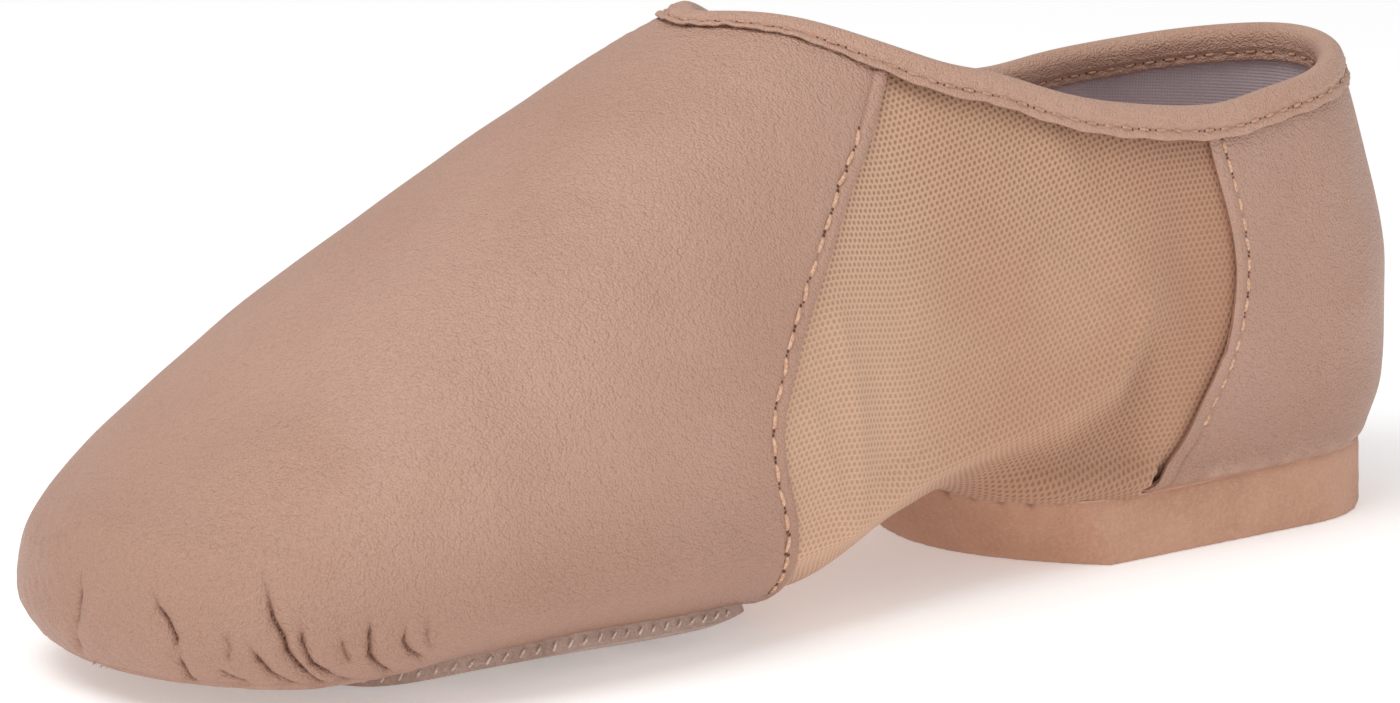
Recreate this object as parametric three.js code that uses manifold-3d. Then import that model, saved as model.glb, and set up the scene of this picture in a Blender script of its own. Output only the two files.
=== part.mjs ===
// Slip-on jazz shoe with a split sole, left foot, standing empty on its soles.
// Millimetres. +X runs from the heel to the toe, +Y is the outer side, +Z is up.
// Every leather, lining and sole surface is one shoe form grown or shrunk by a thickness.
import * as THREE from 'three';
import { mergeVertices } from 'three/addons/utils/BufferGeometryUtils.js';
import Module from 'manifold-3d';

const wasm = await Module();
wasm.setup();

// Driving sizes of the last
const LENGTH = 240;
const BALL_WIDTH = 86;
const HEEL_WIDTH = 65;
const WAIST_WIDTH = 63;
const INSTEP_HEIGHT = 101;
const TOE_HEIGHT = 27;
const TOE_SPRING = 3;
const TOE_SWING = 4;
const HEEL_ROUND = 32;
const TOE_ROUND = 30;
const HEEL_CURVE = 5;
const NOSE_CURVE = 5;
const TOE_BLUNT = 2.2;

// Thicknesses and gaps
const GAP = 0.3;
const LEATHER = 1.0;
const UPPER_WALL = 1.2;
const INSOLE = 2.0;
const BINDING = 1.0;
const BINDING_WIDTH = 6;
const FOLD = 1.3;
const SOLE = 2.0;
const FLOOR_TRIM = 0.1;

// Collar line, as seen from the side
const COLLAR_BACK = 77;
const COLLAR_DIP = 6.5;
const THROAT_AT = 130.5;
const THROAT_CURVE = 31.5;
const THROAT_POINT = 1.5;
const COLLAR_TILT = -0.008;

// Heel block
const HEEL_BLOCK = 11.2;
const BLOCK_BACK = 4.5;
const BLOCK_LENGTH = 68;
const BLOCK_WIDTH = 58;
const BLOCK_ROUND = 25;
const BREAST_BULGE = 13;
const BREAST_RAKE = 6;
const BLOCK_BLUNT = 2.4;

// Forefoot patch, insole and the margins turned in over them
const PATCH_BACK = 140;
const PATCH_LENGTH = 76;
const PATCH_WIDTH = 68;
const MARGIN = 8;
const INSOLE_BACK = 12;
const INSOLE_LENGTH = 212;
const INSOLE_WIDTH = 62;

// Seams: place of the seam's waist along the shoe, and how far it swings
const VAMP_SEAM = 147;
const VAMP_REACH = 100;
const COUNTER_SEAM = 50;
const COUNTER_REACH = 32;

// Mesh density
const END_STEPS = 6;
const MID_STEPS = 15;
const FLAT_STEPS = 2;
const CORNER_STEPS = 5;
const CROWN_STEPS = 7;
const OUTLINE_STEPS = 32;
const RIM_STEPS = 18;
const BLOCK_STEPS = 16;
const BREAST_STEPS = 10;
const ROPE_SIDES = 8;

const HEEL_SEAT = HEEL_BLOCK + GAP;
const FRONT_SEAT = SOLE + GAP - FLOOR_TRIM;
const FAR = 200;
const RIM_REACH = 8;

// Shares of the length over which the heel's lean fades, the nose's lean grows and the toe swings
const BACK_FADE = 0.3;
const NOSE_FADE = 0.14;
const SWING_FROM = 0.5;

// One row for each section across the last. at is a share of LENGTH, outer and inner are
// half widths, widest, ridge and under are heights, flat is the level share of the underside.
const SECTIONS = [
  { at: 0.00, outer: 0.51 * HEEL_WIDTH, inner: 0.48 * HEEL_WIDTH,
    widest: 0.30 * INSTEP_HEIGHT, ridge: 0.89 * INSTEP_HEIGHT, under: HEEL_SEAT, flat: 0.80 },
  { at: 0.08, outer: 0.52 * HEEL_WIDTH, inner: 0.48 * HEEL_WIDTH,
    widest: 0.31 * INSTEP_HEIGHT, ridge: 0.92 * INSTEP_HEIGHT, under: 0.98 * HEEL_SEAT, flat: 0.80 },
  { at: 0.16, outer: 0.52 * HEEL_WIDTH, inner: 0.48 * HEEL_WIDTH,
    widest: 0.32 * INSTEP_HEIGHT, ridge: 0.96 * INSTEP_HEIGHT, under: 0.94 * HEEL_SEAT, flat: 0.80 },
  { at: 0.26, outer: 0.52 * HEEL_WIDTH, inner: 0.48 * HEEL_WIDTH,
    widest: 0.32 * INSTEP_HEIGHT, ridge: 0.99 * INSTEP_HEIGHT, under: 0.89 * HEEL_SEAT, flat: 0.78 },
  { at: 0.34, outer: 0.52 * WAIST_WIDTH, inner: 0.48 * WAIST_WIDTH,
    widest: 0.285 * INSTEP_HEIGHT, ridge: 1.00 * INSTEP_HEIGHT, under: 1.05 * HEEL_SEAT, flat: 0.80 },
  { at: 0.42, outer: 0.52 * WAIST_WIDTH, inner: 0.48 * WAIST_WIDTH,
    widest: 0.24 * INSTEP_HEIGHT, ridge: 0.995 * INSTEP_HEIGHT, under: 1.22 * HEEL_SEAT, flat: 0.50 },
  { at: 0.48, outer: 0.54 * WAIST_WIDTH, inner: 0.49 * WAIST_WIDTH,
    widest: 0.22 * INSTEP_HEIGHT, ridge: 0.936 * INSTEP_HEIGHT, under: 0.92 * HEEL_SEAT, flat: 0.34 },
  { at: 0.56, outer: 0.44 * BALL_WIDTH, inner: 0.385 * BALL_WIDTH,
    widest: 0.24 * INSTEP_HEIGHT, ridge: 0.874 * INSTEP_HEIGHT, under: 1.00 * FRONT_SEAT, flat: 0.30 },
  { at: 0.66, outer: 0.485 * BALL_WIDTH, inner: 0.44 * BALL_WIDTH,
    widest: 0.21 * INSTEP_HEIGHT, ridge: 0.76 * INSTEP_HEIGHT, under: 0.98 * FRONT_SEAT, flat: 0.22 },
  { at: 0.74, outer: 0.505 * BALL_WIDTH, inner: 0.49 * BALL_WIDTH,
    widest: 0.19 * INSTEP_HEIGHT, ridge: 0.648 * INSTEP_HEIGHT,
    under: FRONT_SEAT + 0.15 * TOE_SPRING, flat: 0.15 },
  { at: 0.82, outer: 0.50 * BALL_WIDTH, inner: 0.50 * BALL_WIDTH,
    widest: 0.17 * INSTEP_HEIGHT, ridge: 0.535 * INSTEP_HEIGHT,
    under: FRONT_SEAT + 0.40 * TOE_SPRING, flat: 0.22 },
  { at: 0.89, outer: 0.465 * BALL_WIDTH, inner: 0.49 * BALL_WIDTH,
    widest: 0.60 * TOE_HEIGHT, ridge: 1.56 * TOE_HEIGHT,
    under: FRONT_SEAT + 0.58 * TOE_SPRING, flat: 0.58 },
  { at: 0.95, outer: 0.435 * BALL_WIDTH, inner: 0.465 * BALL_WIDTH,
    widest: 0.60 * TOE_HEIGHT, ridge: 1.28 * TOE_HEIGHT,
    under: FRONT_SEAT + 0.74 * TOE_SPRING, flat: 0.76 },
  { at: 1.00, outer: 0.42 * BALL_WIDTH, inner: 0.44 * BALL_WIDTH,
    widest: 0.56 * TOE_HEIGHT, ridge: 0.95 * TOE_HEIGHT,
    under: FRONT_SEAT + TOE_SPRING, flat: 0.78 },
];

// How far the back of the heel and the nose of the toe lean along X at each height
const BACK_CURVE = [
  { at: 0, lean: 0.8 * HEEL_CURVE },
  { at: 1.0 * HEEL_SEAT, lean: 0.5 * HEEL_CURVE },
  { at: 1.4 * HEEL_SEAT, lean: -0.12 * HEEL_CURVE },
  { at: 1.9 * HEEL_SEAT, lean: -0.38 * HEEL_CURVE },
  { at: 0.52 * COLLAR_BACK, lean: -0.42 * HEEL_CURVE },
  { at: 0.75 * COLLAR_BACK, lean: 0.24 * HEEL_CURVE },
  { at: 1.0 * COLLAR_BACK, lean: 1.0 * HEEL_CURVE },
  { at: 1.3 * COLLAR_BACK, lean: 2.1 * HEEL_CURVE },
];
const NOSE_LEAN = [
  { at: 0, lean: -1.6 * NOSE_CURVE },
  { at: 0.15 * TOE_HEIGHT, lean: -0.44 * NOSE_CURVE },
  { at: 0.44 * TOE_HEIGHT, lean: 0.48 * NOSE_CURVE },
  { at: 0.67 * TOE_HEIGHT, lean: 0.32 * NOSE_CURVE },
  { at: 0.89 * TOE_HEIGHT, lean: -0.2 * NOSE_CURVE },
  { at: 1.11 * TOE_HEIGHT, lean: -0.9 * NOSE_CURVE },
  { at: 2.2 * TOE_HEIGHT, lean: -2.6 * NOSE_CURVE },
];

// Height of the collar's top edge, by its place between the heel's back and the throat
const COLLAR = [
  { at: 0.00, height: COLLAR_BACK },
  { at: 0.10, height: COLLAR_BACK - 0.29 * COLLAR_DIP },
  { at: 0.21, height: COLLAR_BACK - 0.59 * COLLAR_DIP },
  { at: 0.30, height: COLLAR_BACK - 0.76 * COLLAR_DIP },
  { at: 0.38, height: COLLAR_BACK - COLLAR_DIP },
  { at: 0.49, height: COLLAR_BACK - 0.78 * COLLAR_DIP },
  { at: 0.59, height: COLLAR_BACK - 0.45 * COLLAR_DIP },
  { at: 0.73, height: COLLAR_BACK + 0.56 * COLLAR_DIP },
];

// Seams seen from the side: how far in front of the seam's waist each height lies
const VAMP_EDGE = [
  { at: -0.1, lead: -0.14 },
  { at: 0.10, lead: -0.07 },
  { at: 0.24, lead: -0.03 },
  { at: 0.42, lead: 0 },
  { at: 0.56, lead: -0.04 },
  { at: 0.74, lead: -0.135 },
  { at: 0.84, lead: -0.20 },
  { at: 0.94, lead: -0.275 },
  { at: 1.04, lead: -0.335 },
  { at: 1.2, lead: -0.41 },
];
const COUNTER_EDGE = [
  { at: 0, lead: 0.7 },
  { at: 0.18, lead: 0.44 },
  { at: 0.24, lead: 0.33 },
  { at: 0.33, lead: 0.22 },
  { at: 0.41, lead: 0.11 },
  { at: 0.5, lead: 0.03 },
  { at: 0.6, lead: 0 },
  { at: 0.84, lead: 0.1 },
  { at: 1.2, lead: 0.22 },
];

// Half widths of the forefoot patch and the insole, by their place from back to front
const PATCH = [
  { at: 0.00, outer: 0, inner: 0 },
  { at: 0.03, outer: 0.20, inner: 0.20 },
  { at: 0.12, outer: 0.37, inner: 0.36 },
  { at: 0.30, outer: 0.47, inner: 0.46 },
  { at: 0.52, outer: 0.50, inner: 0.50 },
  { at: 0.75, outer: 0.46, inner: 0.50 },
  { at: 0.90, outer: 0.34, inner: 0.40 },
  { at: 0.97, outer: 0.19, inner: 0.24 },
  { at: 1.00, outer: 0, inner: 0 },
];
const INSOLE_OUTLINE = [
  { at: 0.000, outer: 0, inner: 0 },
  { at: 0.015, outer: 0.16, inner: 0.16 },
  { at: 0.06, outer: 0.29, inner: 0.29 },
  { at: 0.16, outer: 0.35, inner: 0.34 },
  { at: 0.40, outer: 0.31, inner: 0.27 },
  { at: 0.66, outer: 0.49, inner: 0.45 },
  { at: 0.80, outer: 0.49, inner: 0.50 },
  { at: 0.92, outer: 0.36, inner: 0.42 },
  { at: 0.985, outer: 0.17, inner: 0.24 },
  { at: 1.000, outer: 0, inner: 0 },
];

// Section exponents: the crown's width and height, then the lower corner's
const CROWN = [2.4, 2.2];
const CORNER = [2.2, 2.3];

// Smooth curve through a table's column that never overshoots its rows
function smoothColumn(table, column) {
  const last = table.length - 1;
  const x = table.map((row) => row.at);
  const y = table.map((row) => row[column]);
  const pitch = y.slice(1).map((value, i) => (value - y[i]) / (x[i + 1] - x[i]));
  const slope = y.map((value, i) => {
    if (i === 0) return pitch[0];
    if (i === last) return pitch[last - 1];
    if (pitch[i - 1] * pitch[i] <= 0) return 0;
    const before = x[i] - x[i - 1];
    const after = x[i + 1] - x[i];
    const total = 3 * (before + after);
    return total / ((2 * after + before) / pitch[i - 1] + (after + 2 * before) / pitch[i]);
  });
  return (at) => {
    const here = Math.min(Math.max(at, x[0]), x[last]);
    let i = 0;
    while (i < last - 1 && here > x[i + 1]) i += 1;
    const step = x[i + 1] - x[i];
    const t = (here - x[i]) / step;
    const rise = 3 * t * t - 2 * t ** 3;
    const lead = (t ** 3 - 2 * t * t + t) * step * slope[i];
    const trail = (t ** 3 - t * t) * step * slope[i + 1];
    return y[i] + (y[i + 1] - y[i]) * rise + lead + trail;
  };
}

const widestAt = smoothColumn(SECTIONS, 'widest');
const ridgeAt = smoothColumn(SECTIONS, 'ridge');
const underAt = smoothColumn(SECTIONS, 'under');
const flatAt = smoothColumn(SECTIONS, 'flat');
const outerAt = smoothColumn(SECTIONS, 'outer');
const innerAt = smoothColumn(SECTIONS, 'inner');
const backLean = smoothColumn(BACK_CURVE, 'lean');
const noseLean = smoothColumn(NOSE_LEAN, 'lean');
const collarHeight = smoothColumn(COLLAR, 'height');

function ease(t) {
  const held = Math.min(Math.max(t, 0), 1);
  return held * held * (3 - 2 * held);
}

// Share of the full width left by the round ends of the plan
function endRound(at) {
  const heel = Math.min((at * LENGTH) / HEEL_ROUND, 1);
  const toe = Math.min(((1 - at) * LENGTH) / TOE_ROUND, 1);
  return Math.sqrt(1 - (1 - heel) ** 2) * (1 - (1 - toe) ** TOE_BLUNT) ** (1 / TOE_BLUNT);
}

// The toe's sideways lead toward the inner side
function swing(at) {
  return -TOE_SWING * ease((at - SWING_FROM) / (1 - SWING_FROM));
}

// A point of the last: at runs heel to toe, part and turn run round the section, side is 1 or -1
function lastPoint(at, part, turn, side) {
  const widest = widestAt(at);
  const ridge = ridgeAt(at);
  const under = underAt(at);
  const flat = flatAt(at);
  const width = (side > 0 ? outerAt(at) : innerAt(at)) * endRound(at);
  const angle = (turn * Math.PI) / 2;
  let across = flat * turn;
  let z = under;
  if (part === 'corner') {
    across = flat + (1 - flat) * Math.sin(angle) ** (2 / CORNER[0]);
    z = widest - (widest - under) * Math.cos(angle) ** (2 / CORNER[1]);
  }
  if (part === 'crown') {
    across = Math.max(Math.cos(angle), 0) ** (2 / CROWN[0]);
    z = widest + (ridge - widest) * Math.sin(angle) ** (2 / CROWN[1]);
  }
  const back = backLean(z) * (1 - ease(at / BACK_FADE));
  const nose = noseLean(z) * ease((at - 1 + NOSE_FADE) / NOSE_FADE);
  return new THREE.Vector3(LENGTH * at + back + nose, swing(at) + side * width * across, z);
}

// Places along the last, closer together at the round ends
function stations() {
  const list = [];
  const heel = HEEL_ROUND / LENGTH;
  const toe = TOE_ROUND / LENGTH;
  for (let i = 0; i < END_STEPS; i += 1) list.push(heel * (1 - Math.cos((i / END_STEPS) * (Math.PI / 2))));
  for (let i = 0; i < MID_STEPS; i += 1) list.push(heel + ((1 - toe - heel) * i) / MID_STEPS);
  for (let i = 0; i <= END_STEPS; i += 1) {
    list.push(1 - toe + toe * Math.sin((i / END_STEPS) * (Math.PI / 2)));
  }
  return list;
}

function ringSteps() {
  const steps = [];
  for (let i = 0; i < FLAT_STEPS; i += 1) steps.push(['flat', i / FLAT_STEPS]);
  for (let i = 0; i < CORNER_STEPS; i += 1) steps.push(['corner', i / CORNER_STEPS]);
  for (let i = 0; i <= CROWN_STEPS; i += 1) steps.push(['crown', i / CROWN_STEPS]);
  return steps;
}

function indexed(positions, triangles) {
  const geometry = new THREE.BufferGeometry();
  geometry.setAttribute('position', new THREE.Float32BufferAttribute(positions, 3));
  geometry.setIndex(triangles);
  const merged = mergeVertices(geometry, 1e-4);
  const index = merged.getIndex().array;
  const kept = [];
  for (let i = 0; i < index.length; i += 3) {
    const [a, b, c] = [index[i], index[i + 1], index[i + 2]];
    if (a !== b && b !== c && c !== a) kept.push(a, b, c);
  }
  merged.setIndex(kept);
  return merged;
}

function lastGeometry() {
  const places = stations();
  const ring = ringSteps();
  const positions = [];
  const triangles = [];
  for (const side of [1, -1]) {
    const start = positions.length / 3;
    for (const at of places) {
      for (const [part, turn] of ring) positions.push(...lastPoint(at, part, turn, side).toArray());
    }
    for (let i = 0; i < places.length - 1; i += 1) {
      for (let j = 0; j < ring.length - 1; j += 1) {
        const a = start + i * ring.length + j;
        const b = a + ring.length;
        if (side > 0) triangles.push(a, a + 1, b, b, a + 1, b + 1);
        else triangles.push(a, b, a + 1, b, b + 1, a + 1);
      }
    }
  }
  const geometry = indexed(positions, triangles);
  geometry.computeVertexNormals();
  return geometry;
}

const LAST = lastGeometry();

function solid(geometry) {
  const plain = geometry.clone();
  for (const name of ['normal', 'uv']) plain.deleteAttribute(name);
  const merged = mergeVertices(plain, 1e-4);
  const index = new Uint32Array(merged.getIndex().array);
  const places = new Float32Array(merged.getAttribute('position').array);
  return new wasm.Manifold(new wasm.Mesh({ numProp: 3, vertProperties: places, triVerts: index }));
}

// The last with its surface moved out by a distance, or in by a negative one
function grown(distance) {
  const moved = LAST.clone();
  const place = moved.getAttribute('position');
  const normal = moved.getAttribute('normal');
  for (let i = 0; i < place.count; i += 1) {
    place.setXYZ(
      i,
      place.getX(i) + distance * normal.getX(i),
      place.getY(i) + distance * normal.getY(i),
      place.getZ(i) + distance * normal.getZ(i),
    );
  }
  return solid(moved);
}

function layer(outside, inside) {
  return grown(outside).subtract(grown(inside));
}

// A slab right across the shoe whose outline is drawn in the side view
function acrossSlab(points) {
  const outline = new THREE.Shape(points.map(([x, z]) => new THREE.Vector2(x, z)));
  const slab = new THREE.ExtrudeGeometry(outline, { depth: FAR, bevelEnabled: false });
  slab.rotateX(Math.PI / 2);
  slab.translate(0, FAR / 2, 0);
  return solid(slab);
}

// A block standing on a plan outline between two heights
function planBlock(points, low, high) {
  const outline = new THREE.Shape(points.map(([x, y]) => new THREE.Vector2(x, y)));
  const block = new THREE.ExtrudeGeometry(outline, { depth: high - low, bevelEnabled: false });
  block.translate(0, 0, low);
  return block;
}

// Turn round the crown at which the collar line crosses a section
function rimTurn(at, side) {
  const start = THROAT_AT - THROAT_CURVE;
  if (at * LENGTH > start) {
    const ahead = (at * LENGTH - start) / THROAT_CURVE;
    const first = lastPoint(start / LENGTH, 'crown', rimTurn(start / LENGTH, side), side);
    const half = Math.abs(first.y) * (1 - ahead ** THROAT_POINT) ** (1 / THROAT_POINT);
    const width = Math.abs(lastPoint(at, 'crown', 0, side).y);
    return Math.acos((half / width) ** (CROWN[0] / 2)) / (Math.PI / 2);
  }
  let low = 0;
  let high = 1;
  for (let i = 0; i < 30; i += 1) {
    const turn = (low + high) / 2;
    const point = lastPoint(at, 'crown', turn, side);
    if (point.z < collarHeight(point.x / THROAT_AT) - COLLAR_TILT * point.y) low = turn;
    else high = turn;
  }
  return (low + high) / 2;
}

// Points of the rim in one closed round, each with the wall's normal and the way down the wall
function rimRound() {
  const throat = THROAT_AT / LENGTH;
  const spot = (share, side) => {
    const at = throat * share;
    const turn = share < 1 ? rimTurn(at, side) : 1;
    const point = lastPoint(at, 'crown', turn, side);
    const ahead = lastPoint(at + 1e-4, 'crown', turn, side).sub(point);
    const around = lastPoint(at, 'crown', turn - 1e-3, side).sub(point);
    const normal = ahead.cross(around).multiplyScalar(side).normalize();
    return { point, normal };
  };
  const shares = [];
  for (let i = 1; i < RIM_STEPS; i += 1) shares.push((1 - Math.cos((Math.PI * i) / RIM_STEPS)) / 2);
  const heel = { point: lastPoint(0, 'crown', rimTurn(0, 1), 1), normal: new THREE.Vector3(-1, 0, 0) };
  const front = spot(1, 1);
  front.normal.setY(0).normalize();
  const round = [heel, ...shares.map((s) => spot(s, 1)), front, ...shares.reverse().map((s) => spot(s, -1))];
  round.forEach((entry, i) => {
    const before = round.at(i - 1).point;
    const after = round[(i + 1) % round.length].point;
    const down = after.clone().sub(before).cross(entry.normal).normalize();
    entry.down = down.z > 0 ? down.negate() : down;
  });
  return round;
}

const RIM_ROUND = rimRound();

function rimShifted(drop, lift) {
  return RIM_ROUND.map(({ point, normal, down }) => (
    point.clone().addScaledVector(down, drop).addScaledVector(normal, lift)));
}

// All that lies above the rim, cut square to the wall, with the rim lowered by a drop
function aboveRim(drop) {
  const inner = rimShifted(drop, -RIM_REACH);
  const outer = rimShifted(drop, RIM_REACH);
  const high = outer.map((point) => point.clone().setZ(FAR));
  const count = inner.length;
  const middle = new THREE.Vector3();
  for (const point of inner) middle.addScaledVector(point, 1 / count);
  const rows = [...inner, ...outer, ...high, middle, middle.clone().setZ(FAR)];
  const triangles = [];
  for (let i = 0; i < count; i += 1) {
    const next = (i + 1) % count;
    triangles.push(3 * count, i, next, 2 * count + next, 2 * count + i, 3 * count + 1);
    for (const low of [0, count]) {
      triangles.push(low + next, low + i, low + count + i, low + next, low + count + i, low + count + next);
    }
  }
  return solid(indexed(rows.flatMap((point) => point.toArray()), triangles));
}

// A round rope closed on itself along the rim
function rimRope(drop, lift, radius) {
  const middles = rimShifted(drop, lift);
  const positions = [];
  const triangles = [];
  middles.forEach((middle, i) => {
    const { normal, down } = RIM_ROUND[i];
    const here = i * ROPE_SIDES;
    const next = ((i + 1) % middles.length) * ROPE_SIDES;
    for (let j = 0; j < ROPE_SIDES; j += 1) {
      const angle = (2 * Math.PI * (j + 0.5)) / ROPE_SIDES;
      const point = middle.clone().addScaledVector(normal, radius * Math.cos(angle));
      positions.push(...point.addScaledVector(down, radius * Math.sin(angle)).toArray());
      const beside = (j + 1) % ROPE_SIDES;
      triangles.push(here + j, next + j, here + beside, next + j, next + beside, here + beside);
    }
  });
  return solid(indexed(positions, triangles));
}

// Heights at which a seam is drawn, as shares of the collar's height at the back
const SEAM_STEPS = 24;
const SEAM_LOW = -0.1;
const SEAM_REACH = 1.4;

// What lies ahead of a seam, or behind it, in the side view
function besideSeam(table, unit, base, ahead) {
  const lead = smoothColumn(table, 'lead');
  const points = [];
  for (let i = 0; i <= SEAM_STEPS; i += 1) {
    const height = SEAM_LOW + (SEAM_REACH * i) / SEAM_STEPS;
    points.push([base + unit * lead(height), height * COLLAR_BACK]);
  }
  const far = ahead ? 2 * FAR : -FAR;
  const outline = [[points[0][0], -FAR], ...points, [points.at(-1)[0], FAR], [far, FAR], [far, -FAR]];
  return acrossSlab(ahead ? outline.reverse() : outline);
}

// Plan outline from a table of half widths
function planOutline(table, back, length, width) {
  const corner = (row, side, column) => new THREE.Vector2(back + length * row.at, side * width * row[column]);
  const out = table.map((row) => corner(row, 1, 'outer'));
  const home = table.slice(1, -1).reverse().map((row) => corner(row, -1, 'inner'));
  const ring = new THREE.SplineCurve([...out, ...home, out[0]]).getPoints(OUTLINE_STEPS).slice(0, -1);
  return ring.map((point) => [point.x, point.y + swing(point.x / LENGTH)]);
}

// Plan of the heel block: round back, straight sides, breast bulging toward the toe
function blockOutline(margin) {
  const half = BLOCK_WIDTH / 2 - margin;
  const back = BLOCK_BACK + margin;
  const round = BLOCK_ROUND - margin;
  const front = BLOCK_BACK + BLOCK_LENGTH - margin;
  const points = [];
  for (let i = 0; i <= BLOCK_STEPS; i += 1) {
    const angle = (Math.PI * i) / BLOCK_STEPS;
    const reach = Math.sin(angle) ** (2 / BLOCK_BLUNT);
    const across = Math.sign(Math.cos(angle)) * Math.abs(Math.cos(angle)) ** (2 / BLOCK_BLUNT);
    points.push([back + round - round * reach, half * across]);
  }
  for (let i = 0; i <= BREAST_STEPS; i += 1) {
    const across = (2 * i) / BREAST_STEPS - 1;
    points.push([front + BREAST_BULGE * (1 - across * across), half * across]);
  }
  return points.reverse();
}

function heelBlock() {
  const block = planBlock(blockOutline(0), 0, HEEL_BLOCK);
  const place = block.getAttribute('position');
  for (let i = 0; i < place.count; i += 1) {
    const reach = ease((place.getX(i) - BLOCK_BACK) / BLOCK_LENGTH);
    place.setX(i, place.getX(i) + (BREAST_RAKE * reach * place.getZ(i)) / HEEL_BLOCK);
  }
  return solid(block).subtract(grown(GAP));
}

const SKIN = -LEATHER - GAP;
const LINING = SKIN - UPPER_WALL;
const RIM = BINDING + GAP;
const ROLL = RIM - LINING / 2;

// The forefoot patch drawn in by a margin is the opening under the forefoot
function patchPlan(margin) {
  return planOutline(PATCH, PATCH_BACK + margin, PATCH_LENGTH - 2 * margin, PATCH_WIDTH - 2 * margin);
}

const patchOpening = solid(planBlock(patchPlan(MARGIN), -FAR, 0.8 * HEEL_SEAT));
const blockOpening = solid(planBlock(blockOutline(MARGIN), -FAR, 1.6 * HEEL_SEAT));
const overRim = aboveRim(FOLD + GAP);

const upper = layer(SKIN, LINING).subtract(overRim).subtract(patchOpening).subtract(blockOpening);
const vamp = layer(0, -LEATHER)
  .subtract(overRim)
  .intersect(besideSeam(VAMP_EDGE, VAMP_REACH, VAMP_SEAM, true))
  .subtract(patchOpening);
const counter = layer(0, -LEATHER)
  .subtract(overRim)
  .intersect(besideSeam(COUNTER_EDGE, COUNTER_REACH, COUNTER_SEAM, false))
  .subtract(blockOpening);

// The binding is folded over the rim: a band of the grown wall with a rolled top and a slot for the wall
const band = layer(RIM, LINING - RIM).intersect(aboveRim(BINDING_WIDTH)).subtract(aboveRim(ROLL));
const slot = layer(GAP, LINING - GAP).subtract(aboveRim(FOLD));
const binding = band.add(rimRope(ROLL, LINING / 2, ROLL)).subtract(slot);

const insideFloor = grown(LINING - GAP);
const insolePlan = planOutline(INSOLE_OUTLINE, INSOLE_BACK, INSOLE_LENGTH, INSOLE_WIDTH);
const insole = insideFloor
  .subtract(insideFloor.translate([0, 0, INSOLE]))
  .intersect(solid(planBlock(insolePlan, -FAR, 0.4 * INSTEP_HEIGHT)));

const aboveFloor = acrossSlab([[-FAR, 0], [2 * FAR, 0], [2 * FAR, FAR], [-FAR, FAR]]);
const frontSole = layer(GAP + SOLE, GAP)
  .intersect(solid(planBlock(patchPlan(0), -FAR, HEEL_SEAT)))
  .intersect(aboveFloor);

function finish(color, roughness) {
  return new THREE.MeshStandardMaterial({ color, roughness, metalness: 0 });
}

const leather = finish(0xb98f75, 0.55);
const pieces = [
  ['upper', upper, finish(0xc69468, 0.85)],
  ['vamp', vamp, leather],
  ['counter', counter, leather],
  ['collar_binding', binding, finish(0xb98a72, 0.6)],
  ['insole', insole, finish(0x8d8084, 0.9)],
  ['front_sole', frontSole, finish(0xb88f6e, 0.95)],
  ['heel_pad', heelBlock(), finish(0xc0926c, 0.95)],
];

// The whole shoe stands with the middle of its outer box over the origin
const shoe = new THREE.Group();
const whole = new THREE.Group();
for (const [name, body, material] of pieces) {
  const { vertProperties, triVerts } = body.getMesh();
  const mesh = new THREE.Mesh(indexed(Array.from(vertProperties), Array.from(triVerts)), material);
  mesh.name = name;
  whole.add(mesh);
}
const box = new THREE.Box3().setFromObject(whole);
whole.position.set(-(box.min.x + box.max.x) / 2, -(box.min.y + box.max.y) / 2, -box.min.z);
shoe.add(whole);

export default shoe;
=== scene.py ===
"""Looks of the slip-on jazz shoe: leather toe and heel, mesh arch, bound collar, suede sole and block.

The shoe form is worked out in millimetres, heel at x = 0, and each piece is laid on it at its own
distance. +Y is the outer side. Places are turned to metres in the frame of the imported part.
"""

import math

import bpy
import numpy as np
from mathutils import Matrix, Vector


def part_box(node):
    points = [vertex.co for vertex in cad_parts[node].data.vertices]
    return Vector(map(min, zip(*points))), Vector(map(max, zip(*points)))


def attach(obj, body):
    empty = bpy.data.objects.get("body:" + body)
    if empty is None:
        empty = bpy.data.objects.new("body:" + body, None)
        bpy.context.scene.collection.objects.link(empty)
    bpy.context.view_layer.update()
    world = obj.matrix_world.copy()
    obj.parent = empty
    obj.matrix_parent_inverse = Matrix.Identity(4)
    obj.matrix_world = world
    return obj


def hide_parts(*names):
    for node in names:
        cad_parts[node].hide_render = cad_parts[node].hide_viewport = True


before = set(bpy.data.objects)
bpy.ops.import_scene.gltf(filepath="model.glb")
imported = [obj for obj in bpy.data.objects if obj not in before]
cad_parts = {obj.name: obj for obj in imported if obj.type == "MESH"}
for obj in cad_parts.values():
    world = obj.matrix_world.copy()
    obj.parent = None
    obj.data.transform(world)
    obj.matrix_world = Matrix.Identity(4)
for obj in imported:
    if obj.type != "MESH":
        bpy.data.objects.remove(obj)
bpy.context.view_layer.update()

# Driving sizes of the last, in millimetres
LENGTH = 240
BALL_WIDTH = 86
HEEL_WIDTH = 65
WAIST_WIDTH = 63
INSTEP_HEIGHT = 101
TOE_HEIGHT = 27
TOE_SPRING = 3
TOE_SWING = 4
HEEL_ROUND = 32
TOE_ROUND = 30
HEEL_CURVE = 5
NOSE_CURVE = 5
TOE_BLUNT = 2.2

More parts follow.
